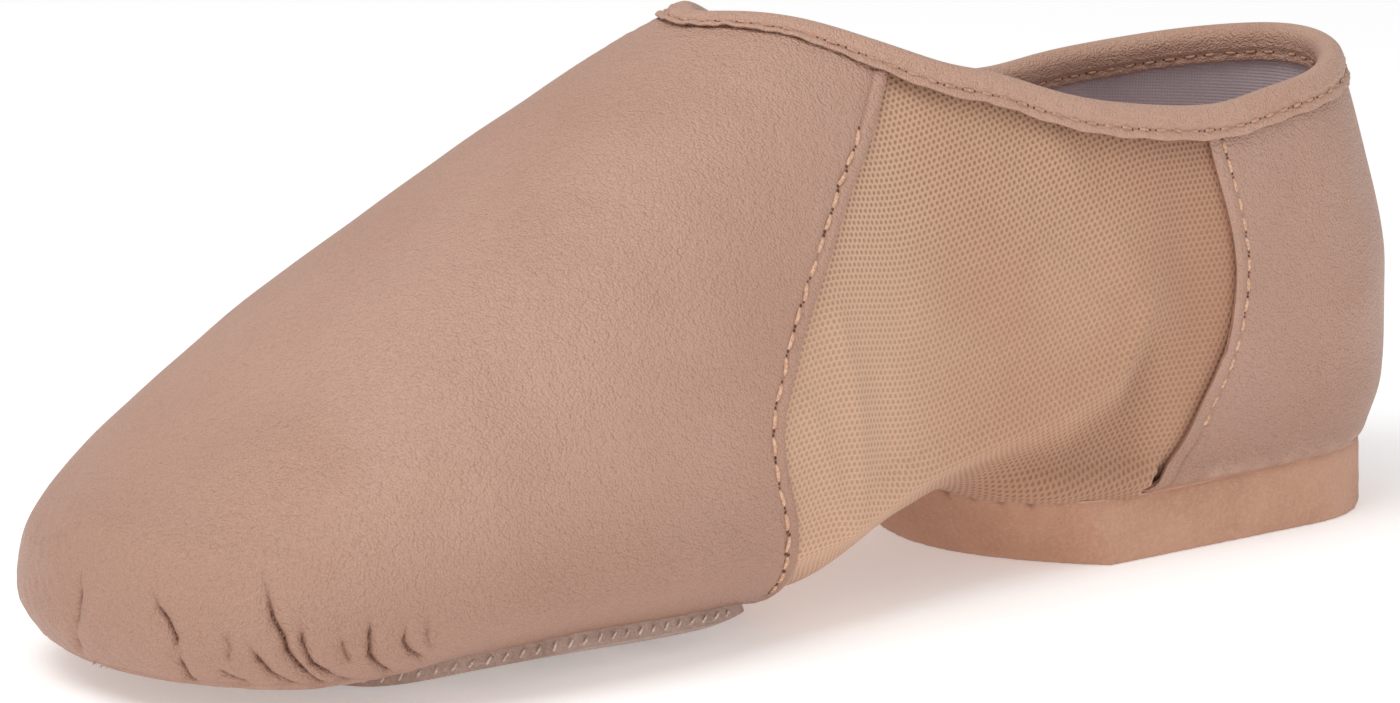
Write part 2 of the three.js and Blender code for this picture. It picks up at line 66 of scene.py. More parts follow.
# Thicknesses and edges
GAP = 0.3
LEATHER = 1.0
LINING_FACE = -1.9
INNER_FACE = -2.5
INSOLE = 2.0
SOLE = 2.0
COLLAR_BACK = 77
COLLAR_DIP = 6.5
COLLAR_TILT = -0.008
THROAT_AT = 130.5
THROAT_CURVE = 31.5
THROAT_POINT = 1.5
HEEL_BLOCK = 11.2
BLOCK_BACK = 4.5
BLOCK_LENGTH = 68
BLOCK_WIDTH = 58
BLOCK_ROUND = 25
BLOCK_BLUNT = 2.4
BREAST_BULGE = 13
BREAST_RAKE = 6
PATCH_BACK = 140
PATCH_LENGTH = 76
PATCH_WIDTH = 68
INSOLE_BACK = 12
INSOLE_LENGTH = 212
INSOLE_WIDTH = 62
MESH_PITCH = 1.05
TOE_PITCH = 4.0
HEEL_PITCH = 3.2
BINDING_PITCH = 3.4
VAMP_SEAM = 147
VAMP_REACH = 100
COUNTER_SEAM = 50
COUNTER_REACH = 32
HEEL_SEAT = HEEL_BLOCK + GAP
FRONT_SEAT = SOLE + GAP - 0.1


def section(at, width, outer, inner, height, widest, ridge, under, level):
    """One row of the table of sections, from shares of a width and a height."""
    return at, outer * width, inner * width, widest * height, ridge * height, under, level


# Sections across the last: place, outer and inner half width, widest, ridge and under heights, level share
SECTIONS = [
    section(0.00, HEEL_WIDTH, 0.51, 0.48, INSTEP_HEIGHT, 0.30, 0.89, HEEL_SEAT, 0.80),
    section(0.08, HEEL_WIDTH, 0.52, 0.48, INSTEP_HEIGHT, 0.31, 0.92, 0.98 * HEEL_SEAT, 0.80),
    section(0.16, HEEL_WIDTH, 0.52, 0.48, INSTEP_HEIGHT, 0.32, 0.96, 0.94 * HEEL_SEAT, 0.80),
    section(0.26, HEEL_WIDTH, 0.52, 0.48, INSTEP_HEIGHT, 0.32, 0.99, 0.89 * HEEL_SEAT, 0.78),
    section(0.34, WAIST_WIDTH, 0.52, 0.48, INSTEP_HEIGHT, 0.285, 1.00, 1.05 * HEEL_SEAT, 0.80),
    section(0.42, WAIST_WIDTH, 0.52, 0.48, INSTEP_HEIGHT, 0.24, 0.995, 1.22 * HEEL_SEAT, 0.50),
    section(0.48, WAIST_WIDTH, 0.54, 0.49, INSTEP_HEIGHT, 0.22, 0.936, 0.92 * HEEL_SEAT, 0.34),
    section(0.56, BALL_WIDTH, 0.44, 0.385, INSTEP_HEIGHT, 0.24, 0.874, FRONT_SEAT, 0.30),
    section(0.66, BALL_WIDTH, 0.485, 0.44, INSTEP_HEIGHT, 0.21, 0.76, 0.98 * FRONT_SEAT, 0.22),
    section(0.74, BALL_WIDTH, 0.505, 0.49, INSTEP_HEIGHT, 0.19, 0.648, FRONT_SEAT + 0.15 * TOE_SPRING,
            0.15),
    section(0.82, BALL_WIDTH, 0.50, 0.50, INSTEP_HEIGHT, 0.17, 0.535, FRONT_SEAT + 0.40 * TOE_SPRING, 0.22),
    section(0.89, BALL_WIDTH, 0.465, 0.49, TOE_HEIGHT, 0.60, 1.56, FRONT_SEAT + 0.58 * TOE_SPRING, 0.58),
    section(0.95, BALL_WIDTH, 0.435, 0.465, TOE_HEIGHT, 0.60, 1.28, FRONT_SEAT + 0.74 * TOE_SPRING, 0.76),
    section(1.00, BALL_WIDTH, 0.42, 0.44, TOE_HEIGHT, 0.56, 0.95, FRONT_SEAT + TOE_SPRING, 0.78),
]
# How far the back and the nose stand forward at a height
BACK_CURVE = [(height, lean * HEEL_CURVE) for height, lean in (
    (0, 0.8), (HEEL_SEAT, 0.5), (1.4 * HEEL_SEAT, -0.12), (1.9 * HEEL_SEAT, -0.38),
    (0.52 * COLLAR_BACK, -0.42), (0.75 * COLLAR_BACK, 0.24), (COLLAR_BACK, 1), (1.3 * COLLAR_BACK, 2.1))]
NOSE_LEAN = [(height * TOE_HEIGHT, lean * NOSE_CURVE) for height, lean in (
    (0, -1.6), (0.15, -0.44), (0.44, 0.48), (0.67, 0.32), (0.89, -0.2), (1.11, -0.9), (2.2, -2.6))]
# Height of the collar line, at shares of the way to the throat
COLLAR = [(at, COLLAR_BACK + rise * COLLAR_DIP) for at, rise in (
    (0.00, 0), (0.10, -0.29), (0.21, -0.59), (0.30, -0.76), (0.38, -1), (0.49, -0.78), (0.59, -0.45),
    (0.73, 0.56))]
# How far each seam leads or trails at a height, as a share of its reach
VAMP_EDGE = [(-0.1, -0.14), (0.10, -0.07), (0.24, -0.03), (0.42, 0), (0.56, -0.04), (0.74, -0.135),
             (0.84, -0.20), (0.94, -0.275), (1.04, -0.335), (1.2, -0.41)]
COUNTER_EDGE = [(0, 0.7), (0.18, 0.44), (0.24, 0.33), (0.33, 0.22), (0.41, 0.11), (0.5, 0.03), (0.6, 0),
                (0.84, 0.1), (1.2, 0.22)]
# Plan outlines: share of the length, outer and inner half width as shares of the width
PATCH = [(0, 0, 0), (0.02, 0.24, 0.22), (0.06, 0.38, 0.35), (0.15, 0.445, 0.42), (0.30, 0.475, 0.46),
         (0.52, 0.50, 0.50), (0.75, 0.46, 0.50), (0.90, 0.34, 0.40), (0.97, 0.19, 0.24), (1, 0, 0)]
INSOLE_OUTLINE = [(0, 0, 0), (0.015, 0.16, 0.16), (0.06, 0.29, 0.29), (0.16, 0.35, 0.34),
                  (0.40, 0.31, 0.27), (0.66, 0.49, 0.45), (0.80, 0.49, 0.50), (0.92, 0.36, 0.42),
                  (0.985, 0.17, 0.24), (1, 0, 0)]

# Ring shares at which the level underside ends and the crown begins
LEVEL_END = 0.2
CROWN_START = 0.5
# Bluntness of the section's arcs, across and upward, below its widest line and above it
LOW_ACROSS, LOW_UP = 2.2, 2.3
TOP_ACROSS, TOP_UP = 2.4, 2.2
# Shares of the length over which the back leans, and from which the nose does
BACK_LEANS = 0.3
NOSE_LEANS = 0.86
# How fast the collar line turns in round the throat
THROAT_TURN = 1.2
# How far below the rim, as a ring share, the layers end inside the binding
EDGE_SHORT = 0.006
# Distance of the stitches from a seam's edge
SEAM_INSET = 2.5
# How often the searches for the rim and on the underside are halved, how often a seam's place and a line
# beside a seam are mended, and the share by which a seam's place is
RIM_HALVINGS = 30
UNDER_HALVINGS = 26
SEAM_ROUNDS = 25
LINE_ROUNDS = 12
SEAM_STEP = 0.7
MM = 0.001


# The shoe form

def smooth_curve(rows, column=1):
    """Smooth curve through a table's column that never overshoots its rows."""
    x = np.array([row[0] for row in rows], float)
    y = np.array([row[column] for row in rows], float)
    step = np.diff(x)
    pitch = np.diff(y) / step
    slope = np.concatenate([pitch[:1], np.zeros(len(x) - 2), pitch[-1:]])
    for i in range(1, len(x) - 1):
        if pitch[i - 1] * pitch[i] > 0:
            before, after = step[i - 1], step[i]
            parts = (2 * after + before) / pitch[i - 1] + (after + 2 * before) / pitch[i]
            slope[i] = 3 * (before + after) / parts

    def value(at):
        at = np.clip(at, x[0], x[-1])
        i = np.clip(np.searchsorted(x, at) - 1, 0, len(x) - 2)
        t = (at - x[i]) / step[i]
        rise = 3 * t ** 2 - 2 * t ** 3
        bend = (t ** 3 - 2 * t ** 2 + t) * slope[i] + (t ** 3 - t ** 2) * slope[i + 1]
        return y[i] + (y[i + 1] - y[i]) * rise + bend * step[i]
    return value


outer_at, inner_at, widest_at, ridge_at, under_at, level_at = [
    smooth_curve(SECTIONS, column) for column in range(1, 7)]
back_lean = smooth_curve(BACK_CURVE)
nose_lean = smooth_curve(NOSE_LEAN)
collar_height = smooth_curve(COLLAR)
vamp_lead = smooth_curve(VAMP_EDGE)
counter_lead = smooth_curve(COUNTER_EDGE)


def ease(t):
    t = np.clip(t, 0, 1)
    return t * t * (3 - 2 * t)


def bump(distance, width):
    return np.exp(-(distance / width) ** 2)


def swing(at):
    return -TOE_SWING * ease(2 * at - 1)


def form(at, ring):
    """Points of the shoe form. at runs heel 0 to toe 1; ring is 0 under the middle and 1 or -1 on the
    ridge, positive on the outer side."""
    at, ring = np.broadcast_arrays(np.asarray(at, float), np.asarray(ring, float))
    side = np.where(ring < 0, -1.0, 1.0)
    s = np.abs(ring)
    level, widest, ridge, under = level_at(at), widest_at(at), ridge_at(at), under_at(at)
    heel = np.minimum(at * LENGTH / HEEL_ROUND, 1)
    toe = np.minimum((1 - at) * LENGTH / TOE_ROUND, 1)
    rounded = np.sqrt(1 - (1 - heel) ** 2) * (1 - (1 - toe) ** TOE_BLUNT) ** (1 / TOE_BLUNT)
    width = np.where(ring < 0, inner_at(at), outer_at(at)) * rounded
    corner = np.clip((s - LEVEL_END) / (CROWN_START - LEVEL_END), 0, 1) * math.pi / 2
    crown = np.clip((s - CROWN_START) / (1 - CROWN_START), 0, 1) * math.pi / 2
    low = level + (1 - level) * np.sin(corner) ** (2 / LOW_ACROSS)
    across = np.where(s > CROWN_START, np.maximum(np.cos(crown), 0) ** (2 / TOP_ACROSS), low)
    across = np.where(s < LEVEL_END, level * s / LEVEL_END, across)
    z = widest - (widest - under) * np.maximum(np.cos(corner), 0) ** (2 / LOW_UP)
    z = np.where(s > CROWN_START, widest + (ridge - widest) * np.sin(crown) ** (2 / TOP_UP), z)
    x = LENGTH * at + back_lean(z) * (1 - ease(at / BACK_LEANS))
    x = x + nose_lean(z) * ease((at - NOSE_LEANS) / (1 - NOSE_LEANS))
    return np.stack([x, swing(at) + side * width * across, z], -1)


def unit(vectors):
    return vectors / np.maximum(np.linalg.norm(vectors, axis=-1, keepdims=True), 1e-12)


def slopes(at, ring):
    """How the form runs toward the toe and up round the section, both for one whole unit."""
    step = 1e-5
    ahead = np.where(at < 0.5, step, -step)
    ringward = np.where(np.abs(ring) < CROWN_START, step, -step)
    here = form(at, ring)
    side = np.where(ring < 0, -1.0, 1.0)
    return (form(at + ahead, ring) - here) / ahead[..., None], \
        (form(at, ring + side * ringward) - here) / ringward[..., None]


def outward(at, ring):
    at, ring = np.broadcast_arrays(np.asarray(at, float), np.asarray(ring, float))
    along, up = slopes(at, ring)
    return unit(np.cross(along, up)) * np.where(ring < 0, 1.0, -1.0)[..., None]


def laid(at, ring, lift=0.0):
    """Points a distance off the form, outward or, below zero, inward."""
    at, ring = np.broadcast_arrays(np.asarray(at, float), np.asarray(ring, float))
    lift = np.broadcast_to(np.asarray(lift, float), at.shape)
    return form(at, ring) + lift[..., None] * outward(at, ring)


def rim_ring(at, side):
    """Ring share at which the collar line crosses a section; 1 ahead of the throat."""
    at = np.asarray(at, float)
    low, high = np.full(at.shape, CROWN_START), np.ones(at.shape)
    for _ in range(RIM_HALVINGS):
        middle = (low + high) / 2
        point = form(at, side * middle)
        under = point[..., 2] < collar_height(point[..., 0] / THROAT_AT) - COLLAR_TILT * point[..., 1]
        low, high = np.where(under, middle, low), np.where(under, high, middle)
    start = (THROAT_AT - THROAT_CURVE) / LENGTH
    ahead = np.clip((at - start) * LENGTH / THROAT_CURVE, 0, 1)
    if at.ndim == 0 and at <= start:
        return (low + high) / 2
    first = np.abs(form(start, side * rim_ring(np.array(start), side))[..., 1])
    half = first * (1 - ahead ** THROAT_POINT) ** (1 / THROAT_POINT)
    width = np.abs(form(at, side * CROWN_START)[..., 1])
    turn = np.arccos(np.clip(half / np.maximum(width, 1e-9), 0, 1) ** THROAT_TURN) / (math.pi / 2)
    return np.where(at > start, CROWN_START + (1 - CROWN_START) * turn, (low + high) / 2)


def seam_place(ring, base, reach, lead):
    """Share of the length at which a seam crosses each ring line."""
    at = np.full(np.shape(ring), base / LENGTH)
    for _ in range(SEAM_ROUNDS):
        point = form(at, ring)
        wanted = base + reach * lead(point[..., 2] / COLLAR_BACK)
        at = np.clip(at + SEAM_STEP * (wanted - point[..., 0]) / LENGTH, 0, 1)
    return at


def ahead_of(points, base, reach, lead):
    """Distance of points in front of a seam, square to it in the side view."""
    height = points[..., 2] / COLLAR_BACK
    slope = reach * (lead(height + 0.01) - lead(height - 0.01)) / (0.02 * COLLAR_BACK)
    return (points[..., 0] - base - reach * lead(height)) / np.sqrt(1 + slope ** 2)


def ring_at(at, across):
    """Ring share on the underside at which the form lies a distance across from its middle."""
    side = np.where(across < 0, -1, 1)
    low, high = np.zeros(len(at)), np.full(len(at), CROWN_START)
    for _ in range(UNDER_HALVINGS):
        middle = (low + high) / 2
        short = np.abs(form(at, side * middle)[:, 1] - swing(at)) < np.abs(across)
        low, high = np.where(short, middle, low), np.where(short, high, middle)
    return side * low


# Placing and shaping pieces

# Distance within which points that meet are made one
WELD_WITHIN = 0.04
# The shoe form's place in the part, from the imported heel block
block_low, block_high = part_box("heel_pad")
SHIFT = np.array([block_low.x / MM - BLOCK_BACK, block_high.y / MM - BLOCK_WIDTH / 2, 0.0])


def to_part(points):
    return (points + SHIFT) * MM


def deselect():
    if bpy.context.object and bpy.context.object.mode != "OBJECT":
        bpy.ops.object.mode_set(mode="OBJECT")
    bpy.ops.object.select_all(action="DESELECT")


def only(piece):
    deselect()
    bpy.context.view_layer.objects.active = piece
    piece.select_set(True)


def map_uv(piece, pairs):
    """Writes one UV pair, in millimetres, for each vertex."""
    layer = piece.data.uv_layers[0]
    corners = np.empty(len(piece.data.loops), np.int32)
    piece.data.loops.foreach_get("vertex_index", corners)
    layer.data.foreach_set("uv", np.asarray(pairs, np.float32)[corners].ravel())


def grid_piece(name, columns, rows, place, thickness=0.0, outside=True):
    """A grid primitive whose points are carried to place(u, v, kept), with u and v from 0 to 1. Each value
    that place keeps becomes an attribute of the points, and the one called uv their UV places. The piece
    is closed where its edges meet, and a thickness in millimetres lies behind the side that it faces."""
    deselect()
    bpy.ops.mesh.primitive_grid_add(x_subdivisions=columns, y_subdivisions=rows, size=2, location=(0, 0, 0))
    piece = bpy.context.object
    piece.name = piece.data.name = name
    flat = np.empty(3 * len(piece.data.vertices), np.float32)
    piece.data.vertices.foreach_get("co", flat)
    flat = flat.reshape(-1, 3).astype(float)
    kept = {}
    points = place((flat[:, 0] + 1) / 2, (flat[:, 1] + 1) / 2, kept)
    piece.data.vertices.foreach_set("co", to_part(points).astype(np.float32).ravel())
    piece.data.update()
    for key, values in kept.items():
        if key == "uv":
            map_uv(piece, values)
        else:
            layer = piece.data.attributes.new(key, "FLOAT", "POINT")
            layer.data.foreach_set("value", np.asarray(values, np.float32))
    only(piece)
    bpy.ops.object.mode_set(mode="EDIT")
    bpy.ops.mesh.select_all(action="SELECT")
    bpy.ops.mesh.remove_doubles(threshold=WELD_WITHIN * MM)
    if outside:
        bpy.ops.mesh.normals_make_consistent(inside=False)
    bpy.ops.object.mode_set(mode="OBJECT")
    if thickness:
        added = piece.modifiers.new("Thickness", "SOLIDIFY")
        added.thickness = thickness * MM
        added.offset = -1
        bpy.ops.object.modifier_apply(modifier=added.name)
    return piece


def finish_piece(piece, material, slot, *nodes, smooth=50):
    """Smooths faces that meet at less than an angle, then gives the piece its material and hides the part's
    nodes that it replaces; slot is not used.
    """
    only(piece)
    bpy.ops.object.shade_smooth_by_angle(angle=math.radians(smooth))
    piece.data.materials.clear()
    piece.data.materials.append(material)
    if nodes:
        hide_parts(*nodes)
    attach(piece, "root")


def line_distance(points, line):
    """Distance of each point to a drawn line, and the share of the line at its foot."""
    line = np.asarray(line, float)
    best = np.full(len(points), 1e9)
    share = np.zeros(len(points))
    for i in range(len(line) - 1):
        a, run = line[i], line[i + 1] - line[i]
        t = np.clip((points - a) @ run / (run @ run), 0, 1)
        far = np.linalg.norm(points - a - t[:, None] * run, axis=1)
        near = far < best
        best[near] = far[near]
        share[near] = ((i + t) / (len(line) - 1))[near]
    return best, share


def ridges(points, table):
    """Height of soft ridges at the points, from rows of a line's places, its height and its width."""
    return sum(height * bump(line_distance(points, line)[0], width) for line, height, width in table)


# Materials

class Wire:
    """A socket in a material, or a plain number, that can be reckoned with."""

    def __init__(self, tree, socket):
        self.tree = tree
        self.socket = socket

    def node(self, kind, settings=None, inputs=None, output=0):
        added = self.tree.nodes.new(kind)
        for key, value in (settings or {}).items():
            setattr(added, key, value)
        for key, value in (inputs or {}).items():
            if isinstance(value, Wire):
                self.tree.links.new(value.socket, added.inputs[key])
            else:
                added.inputs[key].default_value = value
        return Wire(self.tree, added.outputs[output])

    def _math(self, operation, *values):
        return self.node("ShaderNodeMath", {"operation": operation}, dict(enumerate(values)))

    def __add__(self, other):
        return self._math("ADD", self, other)

    __radd__ = __add__

    def __mul__(self, other):
        return self._math("MULTIPLY", self, other)

    def __sub__(self, other):
        return self._math("SUBTRACT", self, other)

    def __rsub__(self, other):
        return self._math("SUBTRACT", other, self)

    def __truediv__(self, other):
        return self._math("DIVIDE", self, other)

    def __pow__(self, other):
        return self._math("POWER", self, other)

    def within(self, low, high):
        """0 below low, 1 above high, and smooth between."""
        return self.node("ShaderNodeMapRange", {"interpolation_type": "SMOOTHSTEP"},
                         {"Value": self, "From Min": low, "From Max": high})

    def mix(self, first, second):
        """first where this is 0 and second where it is 1, as colours."""
        return self.node("ShaderNodeMix", {"data_type": "RGBA"}, {"Factor": self, 6: first, 7: second}, 2)

    def noise(self, scale, detail, rough):
        return self.node("ShaderNodeTexNoise", {}, {
            "Vector": self, "Scale": scale, "Detail": detail, "Roughness": rough})

    def cells(self, scale, feature):
        return self.node("ShaderNodeTexVoronoi", {"feature": feature}, {"Vector": self, "Scale": scale})

    def attribute(self, name):
        return self.node("ShaderNodeAttribute", {"attribute_name": name}, {}, "Fac")

    def part(self, axis):
        """One of the three numbers of a place: 0, 1 or 2."""
        return self.node("ShaderNodeSeparateXYZ", {}, {"Vector": self}, axis)


class Finish:
    """A material with its coordinates at hand; show() sets what its surface shows."""

    def __init__(self, name):
        self.material = bpy.data.materials.new(name)
        self.material.use_nodes = True
        self.tree = self.material.node_tree
        self.tree.nodes.clear()
        self.start = Wire(self.tree, None)
        self.place = self.start.node("ShaderNodeTexCoord", {}, {}, "Object")
        self.flat = self.start.node("ShaderNodeTexCoord", {}, {}, "UV")

    def show(self, colour, roughness, height, depth, **fixed):
        """Colour, roughness and a relief of a depth in metres; fixed holds the values that don't vary."""
        relief = {"Height": height, "Distance": depth, "Strength": 1.0}
        normal = self.start.node("ShaderNodeBump", {}, relief)
        inputs = {"Base Color": colour, "Roughness": roughness, "Normal": normal}
        inputs.update({key.replace("_", " "): value for key, value in fixed.items()})
        surface = self.start.node("ShaderNodeBsdfPrincipled", {}, inputs)
        out = self.tree.nodes.new("ShaderNodeOutputMaterial")
        self.tree.links.new(surface.socket, out.inputs["Surface"])
        return self.material


def tone(*screen):
    """A screen colour from 0 to 255 as the light it stands for."""
    return tuple(((c / 255 + 0.055) / 1.055) ** 2.4 for c in screen) + (1.0,)


# Painted highlight on the grain's pebbles, painted shade in creases and along seams, the paler tone of
# rubbed spots, and painted shade toward the sole
GRAIN_PAINTED_HIGHLIGHT, CREASE_PAINTED_SHADE = tone(236, 206, 186), tone(104, 64, 50)
RUBBED_PALE, LOW_PAINTED_SHADE = tone(216, 184, 164), tone(164, 124, 105)
# Heights, in metres, over which the painted shade on the leather fades out upward, and over which the
# painted shade in the mesh's holes deepens upward as the mesh is stretched
LOW_SHADE_HEIGHTS = (0.012, 0.034)
STRETCHED_HOLE_SHADE = (0.042, 0.066)
# Shades of the mesh, its painted shades and painted light, and the places along the shoe, in metres, where
# painted shade darkens it aft and painted light pales it ahead
MESH_PALE, MESH_DEEP, YARN_DARK = tone(204, 162, 132), tone(198, 154, 125), tone(168, 124, 98)
TUCK_PAINTED_SHADE, AFT_PAINTED_SHADE = tone(148, 104, 80), tone(172, 124, 100)
AHEAD_PAINTED_LIGHT, HOLE_PAINTED_SHADE = tone(222, 182, 153), tone(120, 74, 54)
MESH_AFT_SHADE = (-0.068, -0.036)
MESH_AHEAD_LIGHT = (-0.022, 0.006)


def leather_finish(name, base, warm, dark, grain=1.0):
    """Soft semi-gloss leather with a fine pebble grain, painted highlights on its pebbles, and painted
    shade in its creases, along its seams and toward the sole.
    """
    f = Finish(name)
    broad = f.place.noise(16, 3, 0.55)
    blotch = f.place.noise(70, 3, 0.6)
    pebble = f.place.cells(2300 * grain, "F1")
    pore = f.place.cells(1500 * grain, "SMOOTH_F1")
    wrinkle = f.place.noise(700, 3, 0.6)
    fold = f.start.attribute("fold")
    worn = f.start.attribute("worn")
    colour = broad.within(0.36, 0.64).mix(base, warm)
    colour = (blotch.within(0.45, 0.75) * 0.18).mix(colour, dark)
    # Painted shade toward the sole, fading out upward
    colour = ((1 - f.place.part(2).within(*LOW_SHADE_HEIGHTS)) * 0.62).mix(colour, LOW_PAINTED_SHADE)
    # Painted highlights on the pebble tops
    colour = ((1 - pebble.within(0.0, 0.5)) * 0.16).mix(colour, GRAIN_PAINTED_HIGHLIGHT)
    # Painted shade in the creases, along the stitches and under the binding's hem, from the fold attribute
    colour = (fold.within(0.1, 0.9) * 0.75).mix(colour, CREASE_PAINTED_SHADE)
    colour = (worn.within(0.0, 1.0) * 0.5).mix(colour, RUBBED_PALE)
    height = pebble * -0.55 + pore * 0.35 + wrinkle * 0.8
    roughness = 0.42 + blotch * 0.12 + fold * 0.12 + worn * 0.12
    return f.show(colour, roughness, height, 0.00045, Specular_IOR_Level=0.42, Coat_Weight=0.05,
                  Coat_Roughness=0.3)


def mesh_finish(name):
    """Stretch mesh: rows of small holes with painted shade in them, one mesh pitch apart, over a plain
    backing, with painted shade in its tuck and aft and painted light ahead.
    """
    f = Finish(name)
    along, up = f.flat.part(0), f.flat.part(1)
    row = MESH_PITCH * math.sqrt(3)

    def from_middle(run, pitch):
        rounded = run.node("ShaderNodeMath", {"operation": "ROUND"}, {0: run})
        return (run - rounded) * pitch

    def hole(shift):
        du, dv = from_middle(along / MESH_PITCH + shift, MESH_PITCH), from_middle(up / row + shift, row)
        return (du * du + dv * dv * 0.8) ** 0.5
    nearest = f.start.node("ShaderNodeMath", {"operation": "MINIMUM"}, {0: hole(0), 1: hole(0.5)})
    open_hole = 1 - nearest.within(0.14, 0.36)
    drift = f.place.noise(40, 3, 0.6)
    yarn = f.place.noise(2600, 2, 0.6)
    fold = f.start.attribute("fold")
    colour = drift.within(0.35, 0.65).mix(MESH_PALE, MESH_DEEP)
    colour = (yarn.within(0.4, 0.7) * 0.25).mix(colour, YARN_DARK)
    # Painted shade in the tucked hollow under the arch's fold
    colour = (fold.within(0.0, 1.0) * 0.5).mix(colour, TUCK_PAINTED_SHADE)
    # Painted shade toward the back, in the hollow by the heel piece's seam
    colour = ((1 - f.place.part(0).within(*MESH_AFT_SHADE)) * 0.5).mix(colour, AFT_PAINTED_SHADE)
    # Painted light toward the front, where the key light falls
    colour = (f.place.part(0).within(*MESH_AHEAD_LIGHT) * 0.6).mix(colour, AHEAD_PAINTED_LIGHT)
    # Painted shade in the holes, deeper in the tuck and higher up where the mesh is stretched
    stretched_hole_shade = f.place.part(2).within(*STRETCHED_HOLE_SHADE)
    colour = (open_hole * (0.26 + fold * 0.26 + stretched_hole_shade * 0.26)).mix(colour, HOLE_PAINTED_SHADE)
    height = (1 - open_hole) * 1.0 + yarn * 0.3
    return f.show(colour, 0.66 + open_hole * 0.2, height, 0.00016, Specular_IOR_Level=0.3,
                  Sheen_Weight=0.12, Sheen_Roughness=0.5)


def suede_finish(name, base, dark, light, rubbed):
    """Napped suede with a soft sheen, darker where the sole patch is rubbed, and on the heel block with
    painted shade under the upper and in the puckers.
    """
    f = Finish(name)
    drift = f.place.noise(60, 4, 0.65)
    nap = f.place.noise(1500, 4, 0.7)
    fuzz = f.place.noise(4200, 2, 0.7)
    worn = f.start.attribute("worn")
    colour = drift.within(0.35, 0.68).mix(base, dark)
    colour = (nap.within(0.42, 0.7) * 0.5).mix(colour, light)
    # The rubbed tone: real wear on the sole patch, painted shade on the heel block
    colour = (worn.within(0, 1) * 0.6).mix(colour, rubbed)
    return f.show(colour, 0.9 + nap * 0.08, nap + fuzz * 0.6, 0.0004, Specular_IOR_Level=0.18,
                  Sheen_Weight=0.3, Sheen_Roughness=0.6)


def lining_finish(name, base, dark):
    """Plain woven lining with a fine crosswise weave."""
    f = Finish(name)
    drift = f.place.noise(35, 3, 0.6)
    warp, weft = [f.flat.node("ShaderNodeTexWave", {"bands_direction": way, "wave_profile": "SIN"},
                              {"Vector": f.flat, "Scale": 0.55, "Distortion": 0.6}) for way in "XY"]
    colour = drift.within(0.35, 0.65).mix(base, dark)
    colour = (warp * weft * 0.25).mix(colour, dark)
    return f.show(colour, 0.85 + drift * 0.08, warp * weft, 0.0001, Specular_IOR_Level=0.25)


def fine_finish(name, scale, span, light, dark, roughness, shine):
    """Thread, or the painted shade inside a needle hole: two tones in a fine grain."""
    f = Finish(name)
    grain = f.place.noise(scale, 2, 0.5)
    least, more = roughness
    return f.show(grain.within(*span).mix(light, dark), least + grain * more, grain, 0.0001,
                  Specular_IOR_Level=shine)


def thread_finish(name, light, dark):
    return fine_finish(name, 2600, (0.35, 0.65), light, dark, (0.6, 0.15), 0.35)


vamp_leather = leather_finish("vamp_leather", tone(193, 153, 134), tone(188, 146, 126), tone(174, 132, 111))
# A slightly darker copy of the toe piece's leather: painted shade for the heel side, which faces away from
# the key light
counter_leather = leather_finish("counter_leather", tone(191, 151, 133), tone(185, 144, 124),
                                 tone(170, 128, 108))
binding_leather = leather_finish("binding_leather", tone(204, 162, 141), tone(197, 154, 132),
                                 tone(168, 124, 102), 1.3)
arch_mesh = mesh_finish("stretch_mesh")
block_suede = suede_finish("block_suede", tone(212, 160, 131), tone(201, 148, 119), tone(223, 179, 149),
                           tone(140, 98, 76))
patch_suede = suede_finish("patch_suede", tone(196, 166, 152), tone(168, 136, 120), tone(216, 192, 178),
                           tone(118, 88, 74))
inner_lining = lining_finish("inner_lining", tone(218, 200, 202), tone(204, 186, 188))
sock_lining = lining_finish("sock_lining", tone(186, 168, 168), tone(168, 150, 152))
thread = thread_finish("sewing_thread", tone(226, 188, 160), tone(200, 152, 124))
binding_thread = thread_finish("binding_thread", tone(208, 166, 142), tone(180, 136, 112))
pale_thread = thread_finish("edge_thread", tone(226, 208, 196), tone(190, 162, 146))
needle_hole = fine_finish("needle_hole", 2000, (0.3, 0.7), tone(96, 60, 46), tone(122, 80, 62), (0.8, 0.1),
                          0.2)


# Leather toe piece

